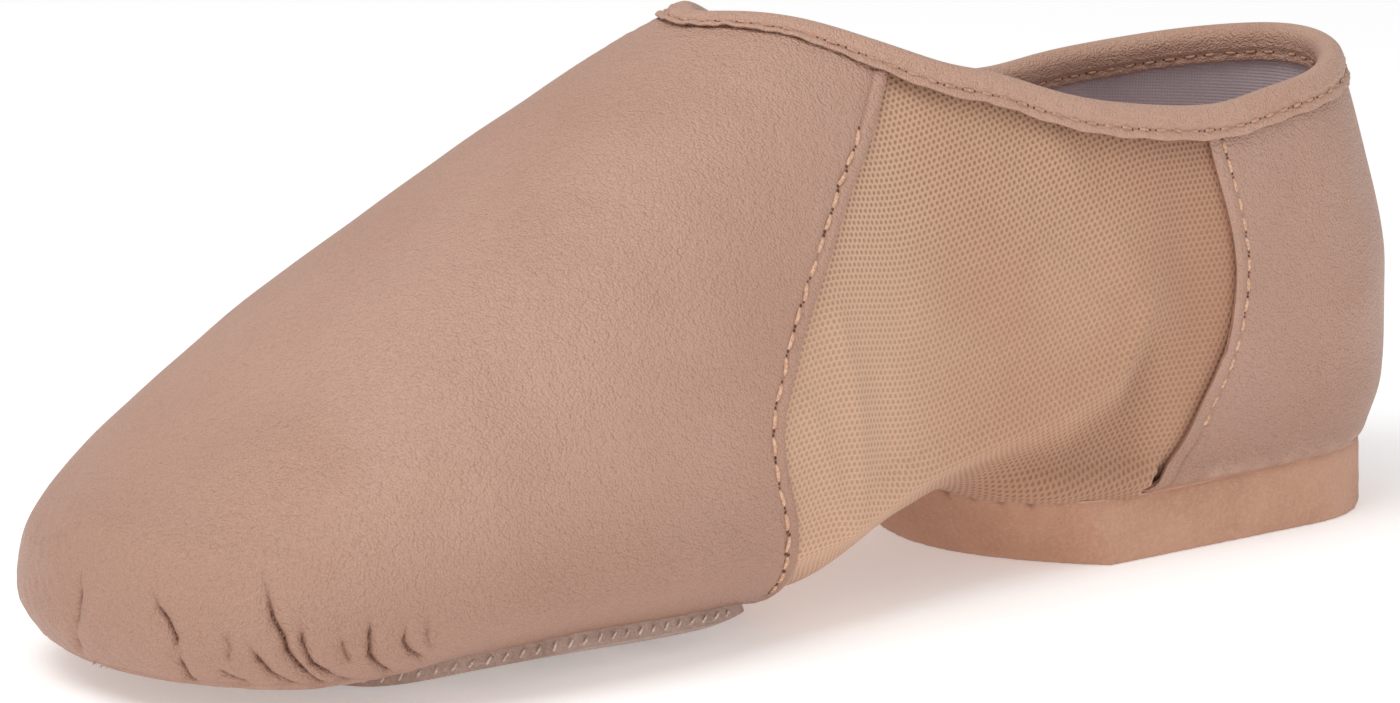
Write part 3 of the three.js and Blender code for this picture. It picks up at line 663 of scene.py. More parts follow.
# Creases of the gathered toe: places on the outer side from top to foot, and how deep
NOSE_PLEAT = [(241, -4.9, 20), (242, -4.1, 16), (242.4, -4.2, 12.8), (241, -5.9, 8)]
PLEATS = [
    ([(239.2, 10.2, 19.5), (239.5, 12.0, 16.8), (239.1, 13.8, 15.1), (238.7, 15.1, 12.7),
      (237.3, 14.8, 8.4), (235.0, 13.8, 5.6)], 1.0),
    ([(234.9, 21.6, 14.6), (234.3, 22.3, 11.9), (234.3, 21.7, 10.3)], 0.45),
    ([(234.6, 19.9, 8.7), (233.5, 19.9, 7.5), (231.2, 21.2, 6.5)], 0.7),
    ([(232.5, 24.5, 12.6), (231.3, 24.9, 10.1), (229.4, 25.0, 8.0), (225.8, 25.5, 6.0)], 0.9),
    ([(229.6, 23.8, 22.8), (230.2, 25.9, 19.3), (230.1, 26.8, 16.3), (229.0, 27.8, 13.6),
      (228.6, 27.9, 11.6), (226.3, 28.1, 8.6), (222.2, 27.2, 5.7)], 1.1),
    ([(227.0, 29.3, 16.3), (227.0, 29.4, 13.1), (225.4, 29.3, 9.4), (223.5, 29.5, 8.1),
      (217.6, 28.5, 5.6)], 1.0),
    ([(222.6, 32.4, 13.9), (221.8, 32.3, 11.3), (220.9, 32.0, 9.8)], 0.55),
    ([(218.7, 34.5, 16.1), (218.8, 34.3, 13.6), (218.3, 33.5, 10.4), (217.2, 33.0, 9.1),
      (213.5, 31.3, 6.8)], 0.95),
    ([(214.0, 36.3, 15.3), (213.9, 35.6, 12.0), (212.6, 35.1, 10.3), (210.1, 34.3, 8.8)], 0.8),
    ([(210.7, 37.2, 16.4), (210.7, 36.7, 12.7), (209.5, 35.9, 10.7)], 0.45),
]
# How deep a crease cuts, the widths of its foot and valley, and the share of its line over which it grows
CREASE_DEPTH = 1.1
CREASE_FOOT = 0.34
CREASE_VALLEY = 1.2
CREASE_GROWS = 0.35
# How far the inner side's creases lie behind the outer side's
INNER_BEHIND = 2.2
# Broad soft folds of the toe piece, as troughs: places, depth, width
TOE_TROUGHS = [
    ([(145.8, 15.7, 80), (138.9, 18.7, 81), (133.6, 23.8, 77.6)], 0.4, 2.6),
    ([(166.7, 15.1, 69.6), (165.1, 20.9, 67.7), (161.4, 25.7, 65.9)], 0.3, 3.0),
    ([(195.8, 27.5, 46.2), (190.6, 32.3, 44.4), (185.7, 36.1, 41.1)], 0.4, 3.5),
    ([(158.6, 40.8, 22.2), (153.1, 40.0, 18.5), (146.5, 37.8, 14.6)], 0.4, 2.6),
    ([(170.8, 34.4, 50.8), (159.8, 34.6, 53.8), (147.2, 33.3, 59.3)], 0.35, 4.0),
    ([(226, 20, 32), (214, 18, 38), (203, 8, 46)], 0.35, 6.0),
    ([(236, -16, 16), (226, -24, 24), (212, -24, 34)], 0.5, 5.0),
]
# Middle of the crinkled spot at the point of the toe, and the place along the shoe of the one at the throat
CRINKLED = np.array([239, -15, 24])
CRINKLED_THROAT = 134
# Places along the shoe from which the leather is gathered and turned in over the sole, and how high
GATHERS_FROM = 202
MARGIN_FROM = 190
MARGIN_TOP = 6.0
# The lowest that the leather may sink, so that nothing inside shows through it
LIFT_LEAST = -1.5
# Share of the rows that lie behind the round of the toe
STRAIGHT_ROWS = 0.42
# How many waves a ripple is made of
WAVES = 9


def ripple(points, reach, seed):
    """Irregular waves about one reach apart, mostly between -1 and 1."""
    dice = np.random.default_rng(seed)
    total = np.zeros(len(points))
    for _ in range(WAVES):
        way = unit(dice.normal(size=3))
        pace = 2 * math.pi / (reach * dice.uniform(0.7, 1.5))
        total += np.sin(points @ way * pace + dice.uniform(0, 6.3))
    return total / (WAVES / 2)


def crease(points, line):
    """How deep a gathered crease cuts, a sharp foot in a wider soft valley, and how much painted shade
    falls in its foot.
    """
    far_off, share = line_distance(points, line)
    strength = 0.25 + 0.75 * ease(share / CREASE_GROWS)
    foot = bump(far_off, CREASE_FOOT)
    return strength * (0.6 * foot + 0.36 * bump(far_off, CREASE_VALLEY)), strength * foot


def seam_relief(edge):
    """Lift near a sewn leather edge: thinned at the edge, drawn in along the stitches."""
    thinned = 0.4 * np.clip(1 - edge / 1.1, 0, 1) ** 2
    return 0.16 * bump(edge - 1.2, 0.8) - thinned - 0.24 * bump(edge - SEAM_INSET, 0.7)


def spread_rings(share):
    """Ring share of a column of the toe piece, with most columns on the low sides."""
    return np.sign(share) * np.interp(np.abs(share), [0, 0.1, 0.6, 1], [0, LEVEL_END, 0.54, 1])


def vamp_place(u, v, kept):
    """The toe piece from its seam (v = 0) to the nose, creased, gathered and drawn in over the sole."""
    ring = spread_rings(2 * u - 1)
    seam = seam_place(ring, VAMP_SEAM, VAMP_REACH, vamp_lead)
    table = np.linspace((THROAT_AT - THROAT_CURVE) / LENGTH, THROAT_AT / LENGTH, 500)
    for side in (1, -1):
        rim = np.interp(np.abs(ring), rim_ring(table, side), table) + 0.8 / LENGTH
        seam = np.where((np.sign(ring) == side) & (np.abs(ring) > CROWN_START), np.maximum(seam, rim), seam)
    front = 1 - TOE_ROUND / LENGTH
    near = seam + (front - seam) * np.clip(v / STRAIGHT_ROWS, 0, 1) ** 1.25
    turned = np.clip((v - STRAIGHT_ROWS) / (1 - STRAIGHT_ROWS), 0, 1) * math.pi / 2
    at = np.where(v < STRAIGHT_ROWS, near, front + (1 - front) * np.sin(turned))
    points = form(at, ring)
    edge = ahead_of(points, VAMP_SEAM, VAMP_REACH, vamp_lead)
    cut, dark = crease(points, NOSE_PLEAT)
    for side, behind in ((1, 0.0), (-1, INNER_BEHIND)):
        twin = form(at, np.abs(ring)) + np.array([behind, 0, 0])
        here = np.where(ring * side > 0, 1.0, 0.0)
        for line, depth in PLEATS:
            deep, shade = crease(twin, line)
            cut, dark = np.maximum(cut, depth * deep * here), np.maximum(dark, depth * shade * here)
    lift = seam_relief(edge) - CREASE_DEPTH * cut
    x, height = points[:, 0], points[:, 2]
    gathered = ease((x - GATHERS_FROM) / 10) * (1 - ease((height - 10) / 9))
    lift = lift + 0.35 * gathered * (1 - np.clip(cut * 1.6, 0, 1))
    for line, depth, width in TOE_TROUGHS:
        far_off, share = line_distance(points, line)
        lift = lift - depth * bump(far_off, width) * np.sin(np.pi * np.clip(share, 0.02, 0.98)) ** 0.5
    crumple = bump(np.linalg.norm(points - CRINKLED, axis=1), 9) + 0.5 * bump(x - CRINKLED_THROAT, 8)
    lift = lift + 0.09 * ripple(points, 15, 3) + (0.26 * crumple + 0.07 * gathered) * ripple(points, 2.6, 5)
    margin = (1 - ease((height - MARGIN_TOP) / 0.8)) * ease((x - MARGIN_FROM) / 12)
    lift = np.maximum(lift - 0.3 * margin, LIFT_LEAST) * ease((np.abs(ring) - LEVEL_END) / 0.06)
    # fold holds painted shade in the creases' feet, along the stitch line and on the turned-in margin
    kept["fold"] = np.clip(dark + 0.5 * bump(edge - SEAM_INSET, 0.4) + 0.3 * margin, 0, 1)
    rubbed = 0.5 + 0.5 * ripple(points, 4, 8)
    kept["worn"] = np.clip(0.9 * bump(height - 4.2, 1.5) * rubbed * (np.abs(ring) < 0.42), 0, 1)
    return points + lift[:, None] * outward(at, ring)


finish_piece(grid_piece("toe_leather", 200, 230, vamp_place, LEATHER), vamp_leather, "leather", "vamp")


# Leather heel piece

# Soft ridges of the heel piece: places, height, width
HEEL_RIDGES = [([(22, 32, 62), (21, 33, 48), (22, 33, 36)], 0.35, 4.0),
               ([(44, 33, 30), (52, 33, 24)], 0.35, 3.0)]


def layer_ring(at, share):
    """Ring share of a layer that ends inside the binding, from its share of the way up to the rim."""
    return share * (np.where(share > 0, rim_ring(at, 1), rim_ring(at, -1)) - EDGE_SHORT)


def counter_place(u, v, kept):
    """The heel piece from the back (v = 0) to its seam, squared where it meets the heel block."""
    share = 2 * u - 1
    seam = np.full(len(u), COUNTER_SEAM / LENGTH)
    for _ in range(3):
        top = np.where(share > 0, rim_ring(seam, 1), rim_ring(seam, -1))
        seam = seam_place(share * top, COUNTER_SEAM, COUNTER_REACH, counter_lead)
    at = seam * (1 - np.cos(v * math.pi / 2))
    ring = layer_ring(at, share)
    points = form(at, ring)
    edge = -ahead_of(points, COUNTER_SEAM, COUNTER_REACH, counter_lead)
    above_seat = points[:, 2] - HEEL_SEAT
    lift = seam_relief(edge) + 0.08 * ripple(points, 16, 4)
    lift = lift + 1.2 * bump(above_seat - 1.4, 1.8) * ease((np.abs(ring) - LEVEL_END) / 0.05)
    lift = lift + ridges(points, HEEL_RIDGES)
    rubbed = 0.5 + 0.5 * ripple(points, 5, 9)
    # fold holds painted shade along the stitch line
    kept["fold"] = 0.5 * bump(edge - SEAM_INSET, 0.4)
    kept["worn"] = np.clip(0.6 * bump(above_seat - 1.5, 2.5) * rubbed, 0, 1)
    return points + lift[:, None] * outward(at, ring)


finish_piece(grid_piece("heel_leather", 190, 130, counter_place, LEATHER), counter_leather, "leather",
             "counter")


# Mesh arch and the lining

# The fold that the arch makes over the foot's hollow, and the softer ridges and troughs round it: places,
# height or depth, width
ARCH_FOLD = [(60, 46), (67.2, 40.9), (73.2, 32.1), (83.1, 27.4), (99.6, 24.6), (110.4, 22.4), (118, 20.2),
             (128, 16), (150, 11)]
ARCH_RIDGES = [
    ([(133.2, 35.7, 48), (131.1, 36.5, 38.6), (129.7, 36.8, 29.5), (129.5, 36.7, 21.9), (129.9, 36, 17.3)],
     0.65, 2.6),
    ([(141, 38.4, 36), (138, 38.4, 29.6), (134.8, 37.6, 21.3), (132.5, 36.7, 17.9)], 0.45, 1.8),
    ([(84.3, 29.0, 67.3), (77.6, 30.9, 59), (72.5, 32.2, 50), (69.3, 33.4, 42)], 0.6, 3.4),
    ([(90, 30.0, 52), (81.7, 31.6, 46), (75.5, 32.6, 39)], 0.4, 3.0),
]
ARCH_TROUGHS = [
    ([(112, 33, 60), (103, 33, 48), (95, 33, 36)], 0.5, 6.0), ([(124, 35, 36), (122, 35, 24)], 0.5, 3.0),
    ([(60, 33, 54), (58, 34, 40), (62, 33, 28)], 0.9, 5.0),
]
# Steps of the table that true lengths are read from
ARC_STEPS = 240
# Where along the shoe the arch's fold begins and fades out under the toe piece, and the arch's middle
FOLD_BEGINS = 60
FOLD_ENDS = 141
ARCH_MIDDLE = 98
# Height below which, and place behind which, the mesh stands out over the heel block
OVER_BLOCK_TOP = 13
OVER_BLOCK_FRONT = 92


def arc_table(side):
    """Run along the shoe, and round its section from the widest line, for places and rings."""
    marks = np.linspace(0, 1, ARC_STEPS + 1)
    grid = form(marks[:, None], side * marks[None, :])
    round_run = np.cumsum(np.linalg.norm(np.diff(grid, axis=1, prepend=grid[:, :1]), axis=-1), axis=1)
    middle = np.searchsorted(marks, CROWN_START)
    widest = grid[:, middle]
    run = np.cumsum(np.linalg.norm(np.diff(widest, axis=0, prepend=widest[:1]), axis=-1))
    return marks, run, round_run - round_run[:, middle:middle + 1]


def true_lengths(at, ring):
    """UV in millimetres as measured on the surface."""
    pairs = np.zeros((len(at), 2))
    for side in (1, -1):
        marks, run, round_run = arc_table(side)
        i, k = [np.clip(value * ARC_STEPS, 0, ARC_STEPS - 0.001) for value in (at, np.abs(ring))]
        a, b, s, t = i.astype(int), k.astype(int), i % 1, k % 1
        up = (round_run[a, b] * (1 - s) * (1 - t) + round_run[a + 1, b] * s * (1 - t)
              + round_run[a, b + 1] * (1 - s) * t + round_run[a + 1, b + 1] * s * t)
        here = (ring >= 0) == (side > 0)
        pairs[here] = np.stack([np.interp(at, marks, run), up], 1)[here]
    return pairs


def shell(name, columns, rows, first, last, lift, thickness, *finish):
    """A layer of the upper from one place along the shoe to another, open at the collar."""
    heel, throat, toe = HEEL_ROUND / LENGTH, THROAT_AT / LENGTH, TOE_ROUND / LENGTH
    turn = np.linspace(0, 1, 26)[1:] * math.pi / 2
    marks = [first]
    if first < heel:
        marks += list(heel * (1 - np.cos(turn)))
    marks += list(np.linspace(max(heel, first), min(last, throat), 60)[1:-1])
    if last > throat:
        marks += list(throat - 0.012 * np.cos(np.linspace(0, math.pi / 2, 12)))
        marks += list(np.linspace(throat, min(last, 1 - toe), 60)[1:])
    if last == 1:
        marks += list(1 - toe * (1 - np.sin(turn)))
    marks = np.sort(np.array(marks))

    def place(u, v, kept):
        at = np.interp(v, np.linspace(0, 1, len(marks)), marks)
        ring = layer_ring(at, 2 * u - 1)
        points = form(at, ring)
        kept["uv"] = true_lengths(at, ring)
        # fold holds painted shade in the tucked hollow under the arch's fold
        kept["fold"], off = arch_shape(points)
        return points + (lift + off)[:, None] * outward(at, ring)

    finish_piece(grid_piece(name, columns, rows, place, thickness), *finish)


def arch_shape(points):
    """Shade and lift of the loose arch: a long fold over a tucked hollow, soft ridges and troughs."""
    x, y, z = points.T
    fold = np.array(ARCH_FOLD)
    drop = np.interp(x, fold[:, 0], fold[:, 1]) - z
    outer = ease(y / 8)
    soft = 1 - ease((x - FOLD_ENDS) / 4)
    tuck = ease(drop / 10) * outer * ease((x - FOLD_BEGINS) / 12) * soft
    lift = 1.2 * bump(drop, 2.8) * outer * ease((x - FOLD_BEGINS - 2) / 10) * soft
    lift = lift - 1.6 * tuck * ease((z - 14) / 6)
    past_counter = ease(ahead_of(points, COUNTER_SEAM, COUNTER_REACH, counter_lead) / 1.5)
    over_block = (1 - ease((z - OVER_BLOCK_TOP) / 4)) * (1 - ease((x - OVER_BLOCK_FRONT) / 12))
    lift = lift + 2.5 * past_counter * over_block
    lift = lift - 0.8 * (1 - outer) * ease((26 - z) / 14) * bump(x - ARCH_MIDDLE, 30)
    lift = lift + soft * (ridges(points, ARCH_RIDGES) - ridges(points, ARCH_TROUGHS))
    between = bump((x - ARCH_MIDDLE) / 60, 0.9)
    return np.clip(tuck * 0.8, 0, 1), lift + 0.14 * between * ripple(points, 13, 6)


# How far the mesh lies inside the form, and how thick it is
MESH_FACE = -1.3
MESH = 0.5

shell("mesh_arch", 240, 170, (COUNTER_SEAM - 9) / LENGTH, (VAMP_SEAM + 6) / LENGTH, MESH_FACE, MESH,
      arch_mesh, "mesh", "upper")
shell("inner_lining", 150, 170, 0.0, 1.0, LINING_FACE, LINING_FACE - INNER_FACE, inner_lining, "lining",
      "upper")


# Collar binding

# Stations round the rim, steps down the wall, and over how many stations both are evened out
RIM_COUNT = 180
WALL_STEP = 0.4
WALL_DEPTH = 8.0
EVEN_OVER = 6


def evened(rows):
    """Values round the rim, evened out over a few stations on either side."""
    reach = range(-3 * EVEN_OVER, 3 * EVEN_OVER + 1)
    weights = bump(np.array(reach), EVEN_OVER)
    return sum(w * np.roll(rows, k, axis=1) for k, w in zip(reach, weights)) / weights.sum()


def rim_track(count):
    """Stations round the rim: place, ring, point, run."""
    out = THROAT_AT / LENGTH * (1 - np.cos(np.linspace(0, math.pi, count + 1))) / 2
    places = np.concatenate([out, out[-2:0:-1]])
    sides = np.concatenate([np.ones(count + 1), -np.ones(count - 1)])
    rings = np.where(sides > 0, rim_ring(places, 1), -rim_ring(places, -1))
    rings[count] = 1.0
    fine = form(places, rings)
    steps = np.linalg.norm(np.diff(np.vstack([fine, fine[:1]]), axis=0), axis=1)
    return places, rings, fine, np.concatenate([[0], np.cumsum(steps)])


def wall_below(places, rings, points):
    """Places and rings down the wall from each rim station, one step after another."""
    travel = unit(np.roll(points, -1, 0) - np.roll(points, 1, 0))
    down = np.cross(travel, outward(places, rings))
    down = unit(down * np.where(down[:, 2:] > 0, -1, 1))
    trail = [(places.copy(), rings.copy())]
    at, ring = places.copy(), rings.copy()
    for _ in range(int(round(WALL_DEPTH / WALL_STEP))):
        along, up = slopes(at, ring)
        moved = down * WALL_STEP
        a, b, c = (along * along).sum(1), (along * up).sum(1), (up * up).sum(1)
        p, q = (along * moved).sum(1), (up * moved).sum(1)
        spread = a * c - b * b
        at = np.clip(at + (p * c - q * b) / spread, 0, 1)
        ring = np.where(ring < 0, -1, 1) * np.clip(np.abs(ring) + (a * q - b * p) / spread, 0.05, 1)
        trail.append((at.copy(), ring.copy()))
    return trail


rim_places, rim_rings, rim_points, rim_run = rim_track(RIM_COUNT)
wall_trail = wall_below(rim_places, rim_rings, rim_points)
wall_points = evened(np.array([form(a, r) for a, r in wall_trail]))
wall_normals = unit(evened(np.array([outward(a, r) for a, r in wall_trail])))


def on_wall(run, drop, lift):
    """Points at a run round the rim, a drop down the wall and a lift off it."""
    drop, lift = np.broadcast_to(drop, run.shape), np.broadcast_to(lift, run.shape)
    pick = np.interp(np.mod(run, rim_run[-1]), rim_run, np.arange(len(rim_run)))
    low = np.floor(pick).astype(int)
    part = (pick - low)[:, None]
    count = len(rim_points)
    a, b = low % count, (low + 1) % count
    depth = np.clip(drop / WALL_STEP, 0, len(wall_trail) - 1.001)
    k = np.floor(depth).astype(int)
    t = (depth - k)[:, None]

    def blend(values):
        upper = values[k, a] * (1 - part) + values[k, b] * part
        lower = values[k + 1, a] * (1 - part) + values[k + 1, b] * part
        return upper * (1 - t) + lower * t
    return blend(wall_points) + lift[:, None] * unit(blend(wall_normals))


# Half width of the rolled top, how far down the stitches and the outer hem run, and the thickness
ROLL = 2.2
STITCH_DROP = 4.3
HEM_DROP = 5.9
BINDING = 0.45
# Section of the binding from its outer hem over the rolled top to the inner edge: drop, lift
BINDING_SECTION = [
    (5.70, 0.50), (5.86, 0.66), (5.80, 0.84), (5.50, 0.92), (5.10, 0.86), (4.70, 0.68), (STITCH_DROP, 0.60),
    (3.90, 0.68), (3.50, 0.84), (3.00, 0.94), (2.30, 0.96),
] + [(ROLL - ROLL * math.cos(a), INNER_FACE / 2 + ROLL * math.sin(a))
     for a in np.linspace(math.radians(75), math.radians(-75), 15)] + [
    (2.3, -3.50), (3.3, -3.52), (4.0, -3.36), (4.5, -3.28), (5.0, -3.42), (5.6, -3.40), (5.9, -3.2),
    (5.95, -3.05),
]
# Width and pitch of the small gathers round the throat
THROAT_GATHER = 13
GATHER_PITCH = 2.3


def binding_place(u, v, kept):
    """The folded strip: u runs round the rim, v over its section."""
    section = np.array(BINDING_SECTION)
    spread = np.concatenate([[0], np.cumsum(np.linalg.norm(np.diff(section, axis=0), axis=1))])
    drop, lift = [np.interp(v * spread[-1], spread, section[:, k]) for k in range(2)]
    run = (1 - u) * rim_run[-1]
    outside = lift > INNER_FACE / 2
    seam = bump(drop - STITCH_DROP, 0.6)
    pinch = 0.5 + 0.5 * np.cos(2 * math.pi * run / BINDING_PITCH)
    folds = np.sin(2 * math.pi * run / GATHER_PITCH + 0.5 * np.sin(run)) * ease(drop / 2)
    gather = bump(run - rim_run[RIM_COUNT], THROAT_GATHER) * folds
    swell = 0.06 * np.sin(run * 0.9 + 3 * np.sin(run * 0.17)) + 0.04 * np.sin(run * 0.37 + 1)
    proud = 0.14 * (1 - seam) * (1 - pinch) * (drop > 3) + (swell + 0.14 * gather) * ease((drop - 1) / 2)
    proud = np.maximum(proud, -0.08)
    # Painted shade along the stitch line and under the outer hem, kept as fold
    shade = 0.55 * bump(drop - STITCH_DROP, 0.3) + 0.9 * bump(drop - HEM_DROP, 0.12)
    kept["fold"] = np.clip(shade, 0, 1) * outside
    kept["worn"] = 0.4 * bump(drop, 1.1) * (0.5 + 0.5 * np.sin(run * 0.21))
    wander = 0.12 * np.sin(run * 0.8) * (drop > 5) * outside
    return on_wall(run, np.maximum(drop + wander, 0), lift + np.where(outside, proud, -proud))


finish_piece(grid_piece("collar_band", 520, 64, binding_place, BINDING, outside=False), binding_leather,
             "binding", "collar_binding")


# Soles, insole and heel block

def under_sheet(name, columns, rows, table, back, length, width, lift, shaping, thickness):
    """A sheet that follows the form's underside inside a plan outline."""
    def place(u, v, kept):
        share = (1 - np.cos(v * math.pi)) / 2
        at = (back + length * share) / LENGTH
        across = 2 * u - 1
        outer, inner = smooth_curve(table, 1)(share), smooth_curve(table, 2)(share)
        half = np.where(across > 0, outer, inner) * width
        points = laid(at, ring_at(at, across * half), lift)
        kept["uv"] = np.stack([points[:, 0], points[:, 1]], 1)
        return shaping(points, half * (1 - np.abs(across)), kept)

    return grid_piece(name, columns, rows, place, thickness, outside=False)


# How much thinner the sock liner is where it is pressed flat
INSOLE_PRESSED = 0.2


def insole_shape(points, edge, kept):
    """Raises the sock liner's edge a little and lets it wave."""
    wave = np.sin(points[:, 0] * 0.11) * np.sin(points[:, 1] * 0.13)
    points[:, 2] += 0.25 * bump(edge, 1.5) + 0.15 * wave
    return points


insole = under_sheet("insole_sock", 60, 150, INSOLE_OUTLINE, INSOLE_BACK, INSOLE_LENGTH, INSOLE_WIDTH,
                     INNER_FACE - GAP, insole_shape, INSOLE - INSOLE_PRESSED)
finish_piece(insole, sock_lining, "lining", "insole")

# Length over which the patch's back end is skived, how far, and how far the patch reaches into the leather
PATCH_SKIVED = 14.0
PATCH_SKIVE = 1.9
PATCH_SUNK = 0.5


def patch_shape(points, edge, kept):
    """Skives the patch's back end, keeps it on the floor and rubs its middle."""
    points[:, 2] += PATCH_SKIVE * (1 - ease((points[:, 0] - PATCH_BACK) / PATCH_SKIVED))
    points[:, 2] = np.maximum(points[:, 2], 0.02)
    x, y = points[:, 0], points[:, 1]
    rub = np.sin(x * 0.9 + y * 0.5) * np.sin(x * 0.31 - y * 0.77)
    kept["worn"] = np.clip(0.5 * bump(edge - 14, 9) + 0.25 * rub, 0, 1)
    return points


sole_patch = under_sheet("sole_patch", 90, 110, PATCH, PATCH_BACK, PATCH_LENGTH, PATCH_WIDTH, GAP + SOLE,
                         patch_shape, SOLE + PATCH_SUNK)
finish_piece(sole_patch, patch_suede, "suede", "front_sole")

# Share of the block's outline that its back and sides take, and of its columns that its floor and walls do
ROUND_PART = 0.62
FLOOR_ENDS = 0.22
WALL_ENDS = 0.8
# Middle of the block as a share of its length, how far it rises over its own height, and into the leather
BLOCK_MIDDLE = 0.52
BLOCK_RISE = 1.6
BLOCK_SUNK = 0.3
# Distances from the middle at which the cover of the breast is puckered under the arch
BREAST_PUCKERS = (22, 18, 13.8, 9.6, 4.1)


def block_outline(share):
    """Plan of the heel block: share runs round from the outer breast corner by the back to the inner one,
    then along the bulging breast."""
    front = BLOCK_BACK + BLOCK_LENGTH
    straight = BLOCK_LENGTH - BLOCK_ROUND
    body = share / ROUND_PART
    side_run = straight / (2 * straight + math.pi * BLOCK_ROUND)
    angle = np.clip((body - side_run) / (1 - 2 * side_run), 0, 1) * math.pi
    reach = np.sin(angle) ** (2 / BLOCK_BLUNT)
    across = np.sign(np.cos(angle)) * np.abs(np.cos(angle)) ** (2 / BLOCK_BLUNT)
    x = BLOCK_BACK + BLOCK_ROUND - BLOCK_ROUND * reach
    x = np.where(body < side_run, front - straight * body / side_run, x)
    x = np.where(body > 1 - side_run, front - straight * (1 - body) / side_run, x)
    breast = np.clip((share - ROUND_PART) / (1 - ROUND_PART), 0, 1)
    across = np.where(share > ROUND_PART, -1 + 2 * breast, across)
    x = np.where(share > ROUND_PART, front + BREAST_BULGE * (1 - across ** 2), x)
    return x, BLOCK_WIDTH / 2 * across


def block_place(u, v, kept):
    """The block as one skin: out over the floor, up the wall and in under the heel."""
    x, y = block_outline(u)
    middle = BLOCK_BACK + BLOCK_MIDDLE * BLOCK_LENGTH
    inward = np.minimum(np.minimum(v / FLOOR_ENDS, (1 - v) / (1 - WALL_ENDS)), 1.0) ** 0.6
    level = np.clip((v - FLOOR_ENDS) / (WALL_ENDS - FLOOR_ENDS), 0, 1)
    px, py = middle + (x - middle) * inward, y * inward
    seat_at = np.clip((middle + 0.95 * (px - middle)) / LENGTH, 0.01, 0.5)
    seat = form(seat_at, ring_at(seat_at, 0.95 * py))[:, 2]
    ceiling = np.minimum(HEEL_BLOCK + BLOCK_RISE, seat + BLOCK_SUNK)
    z = level * ceiling
    wall = (v >= FLOOR_ENDS) & (v <= WALL_ENDS)
    below_top = ceiling - z
    breast = ease(px - BLOCK_BACK - BLOCK_LENGTH + 1)
    puckers = sum(bump(np.abs(py) - across, 0.6) for across in BREAST_PUCKERS)
    puckers = puckers * breast * (1 - ease((below_top - 1.2) / 1.6)) * wall
    px = px + BREAST_RAKE * ease((px - BLOCK_BACK) / BLOCK_LENGTH) * z / HEEL_BLOCK
    points = np.stack([px, py, z], 1)
    # Painted shade along the block's top edge under the upper and in the breast's puckers, and darker along
    # the bottom edge
    kept["worn"] = np.clip(0.4 * bump(below_top, 0.6) + 0.35 * bump(z, 0.45) + 1.1 * puckers, 0, 1) * wall
    rough_cut = 0.07 * ripple(points, 3, 11) + 0.13 * bump(z, 0.9) * ripple(points * (1, 1, 0), 1.5, 12)
    pull = 0.4 * (bump(z, 0.6) + bump(below_top, 0.7)) + rough_cut + 0.6 * puckers
    reach = np.sqrt((px - middle) ** 2 + py ** 2) + 1e-9
    away = np.stack([(px - middle) / reach, py / reach, np.zeros(len(u))], 1)
    return points - (pull * wall)[:, None] * away


finish_piece(grid_piece("heel_block", 420, 40, block_place), block_suede, "suede", "heel_pad", smooth=40)


# Stitches

# Length and half thickness of the stitches of each seam
TOE_STITCH = 3.2, 0.36
HEEL_STITCH = 2.5, 0.33
EDGE_STITCH = 1.7, 0.22
BINDING_STITCH = 2.1, 0.26
INNER_STITCH = 1.9, 0.25
EDGE_PITCH = 2.6
# Ring shares between which the toe and heel seams are sewn, and shares of the patch's length for its edge
TOE_SEWN = 0.33, 0.76
HEEL_SEWN = 0.4, 0.68
PATCH_SEWN = 0.13, 0.92
# Height of the two leather seams' and the patch's stitches off the form, and of the binding's off the wall
SEAM_LIFT = -0.2
EDGE_LIFT = 1.2
BINDING_LIFT = 0.62
INNER_LIFT = -3.36


def stitch_pattern(length, radius):
    """One stitch: a thread capsule that dips into the leather at both ends."""
    deselect()
    bpy.ops.mesh.primitive_uv_sphere_add(segments=8, ring_count=8, radius=1, location=(0, 0, 0))
    pattern = bpy.context.object
    bpy.ops.object.mode_set(mode="EDIT")
    bpy.ops.mesh.select_all(action="SELECT")
    bpy.ops.transform.rotate(value=math.pi / 2, orient_axis="Y", center_override=(0, 0, 0))
    bpy.ops.object.mode_set(mode="OBJECT")
    for vertex in pattern.data.vertices:
        x, y, z = vertex.co
        stretch = math.copysign(abs(x) ** 0.8, x)
        vertex.co = (stretch * length / 2 * MM, y * radius * MM,
                     (z * radius * 0.8 - 0.55 * radius * 2 * stretch ** 4) * MM)
    return pattern


def set_down(pattern, name, spot, heading, across, up):
    """A copy of a pattern, turned and set down at a spot."""
    seat = to_part(spot)
    copy = bpy.data.objects.new(name, pattern.data.copy())
    rows = [[heading[k], across[k], up[k], seat[k]] for k in range(3)]
    copy.data.transform(Matrix(rows + [[0, 0, 0, 1]]))
    bpy.context.collection.objects.link(copy)
    return copy


def joined(name, pattern, copies):
    """The copies in one piece; the pattern goes."""
    bpy.data.objects.remove(pattern)
    deselect()
    for copy in copies:
        copy.select_set(True)
    bpy.context.view_layer.objects.active = copies[0]
    bpy.ops.object.join()
    piece = bpy.context.object
    piece.name = piece.data.name = name
    return piece


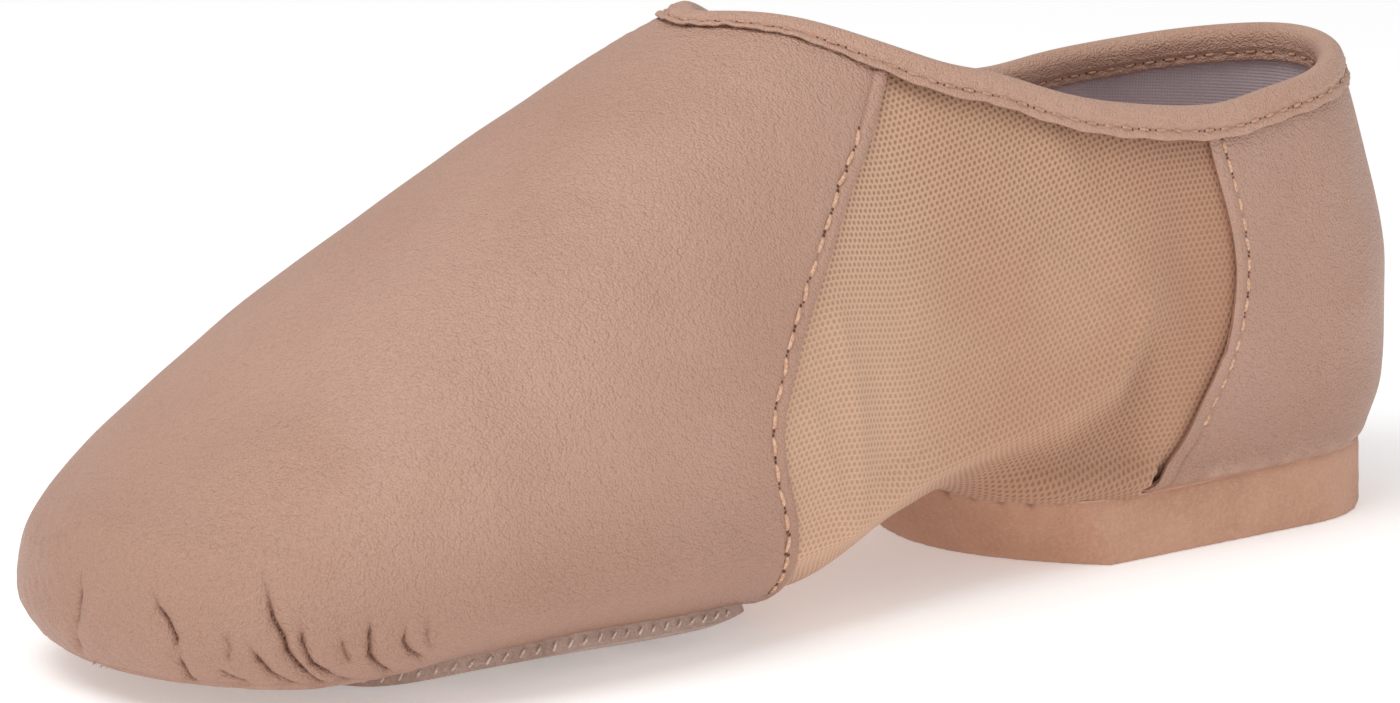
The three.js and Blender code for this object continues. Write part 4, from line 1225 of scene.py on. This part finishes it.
def sew(name, points, normals, pitch, length, radius, stitch, lean=0.0, lift=0.1, holed=True):
    """Stitches one pitch apart along a line on the surface, joined in one piece."""
    run = np.concatenate([[0], np.cumsum(np.linalg.norm(np.diff(points, axis=0), axis=1))])

    def at_run(values, where):
        return np.array([np.interp(where, run, values[:, k]) for k in range(3)])

    pattern = stitch_pattern(length, radius)
    dice = np.random.default_rng(len(name))
    copies, holes = [], []
    for i in range(int(run[-1] // pitch)):
        middle = (i + 0.5) * pitch
        spot = at_run(points, middle)
        along = unit(at_run(points, middle + 0.5) - at_run(points, middle - 0.5))
        up = at_run(normals, middle)
        up = unit(up - along * (up @ along))
        turn = lean + dice.normal(0, 0.08)
        heading = along * math.cos(turn) + np.cross(up, along) * math.sin(turn)
        copies.append(set_down(pattern, name, spot + up * lift, heading, np.cross(up, heading), up))
        for end in (-1, 1):
            holes.append((spot + heading * end * length * 0.52 + up * (lift - 0.12), along, up))
    finish_piece(joined(name, pattern, copies), stitch, "thread")
    if holed:
        punch(name + "_holes", holes, radius * 0.85)


def punch(name, holes, radius):
    """Needle holes: shallow domed discs at the ends of the stitches, dark with painted shade."""
    deselect()
    bpy.ops.mesh.primitive_uv_sphere_add(segments=8, ring_count=4, radius=radius * MM, location=(0, 0, 0))
    pattern = bpy.context.object
    for vertex in pattern.data.vertices:
        vertex.co.z *= 0.25
    discs = [set_down(pattern, name, spot, along, np.cross(up, along), up) for spot, along, up in holes]
    finish_piece(joined(name, pattern, discs), needle_hole, "leather")


def seam_line(base, reach, lead, inset, side, low, high):
    """A line on the leather a fixed distance in from a seam, between two ring shares."""
    ring = side * np.linspace(low, high, 200)
    at = seam_place(ring, base, reach, lead)
    for _ in range(LINE_ROUNDS):
        points = form(at, ring)
        at = np.clip(at + (inset - ahead_of(points, base, reach, lead)) / LENGTH, 0, 1)
    return laid(at, ring, SEAM_LIFT), outward(at, ring)


for side, word in ((1, "outer"), (-1, "inner")):
    line = seam_line(VAMP_SEAM, VAMP_REACH, vamp_lead, SEAM_INSET, side, *TOE_SEWN)
    sew("toe_seam_" + word, *line, TOE_PITCH, *TOE_STITCH, thread)
    line = seam_line(COUNTER_SEAM, COUNTER_REACH, counter_lead, -SEAM_INSET, side, *HEEL_SEWN)
    sew("heel_seam_" + word, *line, HEEL_PITCH, *HEEL_STITCH, thread)

# The slanted pale stitches round the edge of the sole patch
share = np.linspace(*PATCH_SEWN, 300)
at = (PATCH_BACK + PATCH_LENGTH * share) / LENGTH
ring = ring_at(at, smooth_curve(PATCH)(share) * PATCH_WIDTH)
sideways = unit(outward(at, ring) * (1, 1, 0))
sew("sole_edge_seam", laid(at, ring, EDGE_LIFT) + sideways * 0.1, sideways, EDGE_PITCH, *EDGE_STITCH,
    pale_thread, lean=0.9, holed=False)

# The stitches of the binding, outside and in
around = np.linspace(0, rim_run[-1], 900)
rim_normals = unit(on_wall(around, STITCH_DROP, 1.0) - on_wall(around, STITCH_DROP, 0.0))
sew("collar_seam", on_wall(around, STITCH_DROP, BINDING_LIFT), rim_normals, BINDING_PITCH, *BINDING_STITCH,
    binding_thread)
sew("collar_inner_seam", on_wall(around, STITCH_DROP, INNER_LIFT), -rim_normals, BINDING_PITCH,
    *INNER_STITCH, binding_thread)


# Stage, light and camera

def stage_finish():
    f = Finish("studio_floor")
    drift = f.place.noise(1.5, 1, 0.4)
    return f.show(drift.mix(tone(252, 252, 252), tone(254, 254, 254)), 0.9 + drift * 0.02, drift, 0.00001,
                  Emission_Color=(1, 1, 1, 1), Emission_Strength=0.28)


deselect()
bpy.ops.mesh.primitive_plane_add(size=9, location=(0, 0, 0))
floor = bpy.context.object
floor.name = "studio_floor"
floor.data.materials.append(stage_finish())

world = bpy.data.worlds.new("studio")
world.use_nodes = True
world.node_tree.nodes["Background"].inputs["Color"].default_value = (1, 1, 1, 1)
world.node_tree.nodes["Background"].inputs["Strength"].default_value = 0.56
bpy.context.scene.world = world

# What the lights are turned to
LIT_SPOT = Vector((0, 0, 0.03))


def soft_light(name, place, size, power):
    data = bpy.data.lights.new(name, "AREA")
    data.shape = "RECTANGLE"
    data.size, data.size_y = size
    data.energy = power
    lamp = bpy.data.objects.new(name, data)
    lamp.location = place
    lamp.rotation_euler = (Vector(place) - LIT_SPOT).to_track_quat("Z", "Y").to_euler()
    bpy.context.collection.objects.link(lamp)


soft_light("top_softbox", (0.7, 0.15, 1.15), (0.9, 0.7), 8.0)
soft_light("front_softbox", (1.0, 1.0, 0.2), (0.7, 0.35), 1.7)
soft_light("heel_softbox", (-0.7, 1.2, 0.35), (0.6, 0.4), 0.5)

CAMERA_TURN = math.radians(39.0)
CAMERA_TILT = math.radians(11.2)
CAMERA_ROLL = math.radians(0.4)
CAMERA_FAR = 900
AIM = np.array([131.4, 0, 37.5])
level = np.array([math.sin(CAMERA_TURN), math.cos(CAMERA_TURN), 0])
back = level * math.cos(CAMERA_TILT) + np.array([0, 0, math.sin(CAMERA_TILT)])
right = np.array([-math.cos(CAMERA_TURN), math.sin(CAMERA_TURN), 0])
above = np.cross(back, right)
level_right = right * math.cos(CAMERA_ROLL) - above * math.sin(CAMERA_ROLL)
level_up = right * math.sin(CAMERA_ROLL) + above * math.cos(CAMERA_ROLL)
stand = to_part(AIM + CAMERA_FAR * back)
lens = bpy.data.cameras.new("camera")
lens.lens = 151.8
lens.sensor_width = 36
lens.clip_start = 0.05
camera = bpy.data.objects.new("camera", lens)
rows = [[level_right[k], level_up[k], back[k], stand[k]] for k in range(3)]
camera.matrix_world = Matrix(rows + [[0, 0, 0, 1]])
bpy.context.collection.objects.link(camera)
bpy.context.scene.camera = camera
bpy.context.scene.view_settings.view_transform = "Standard"
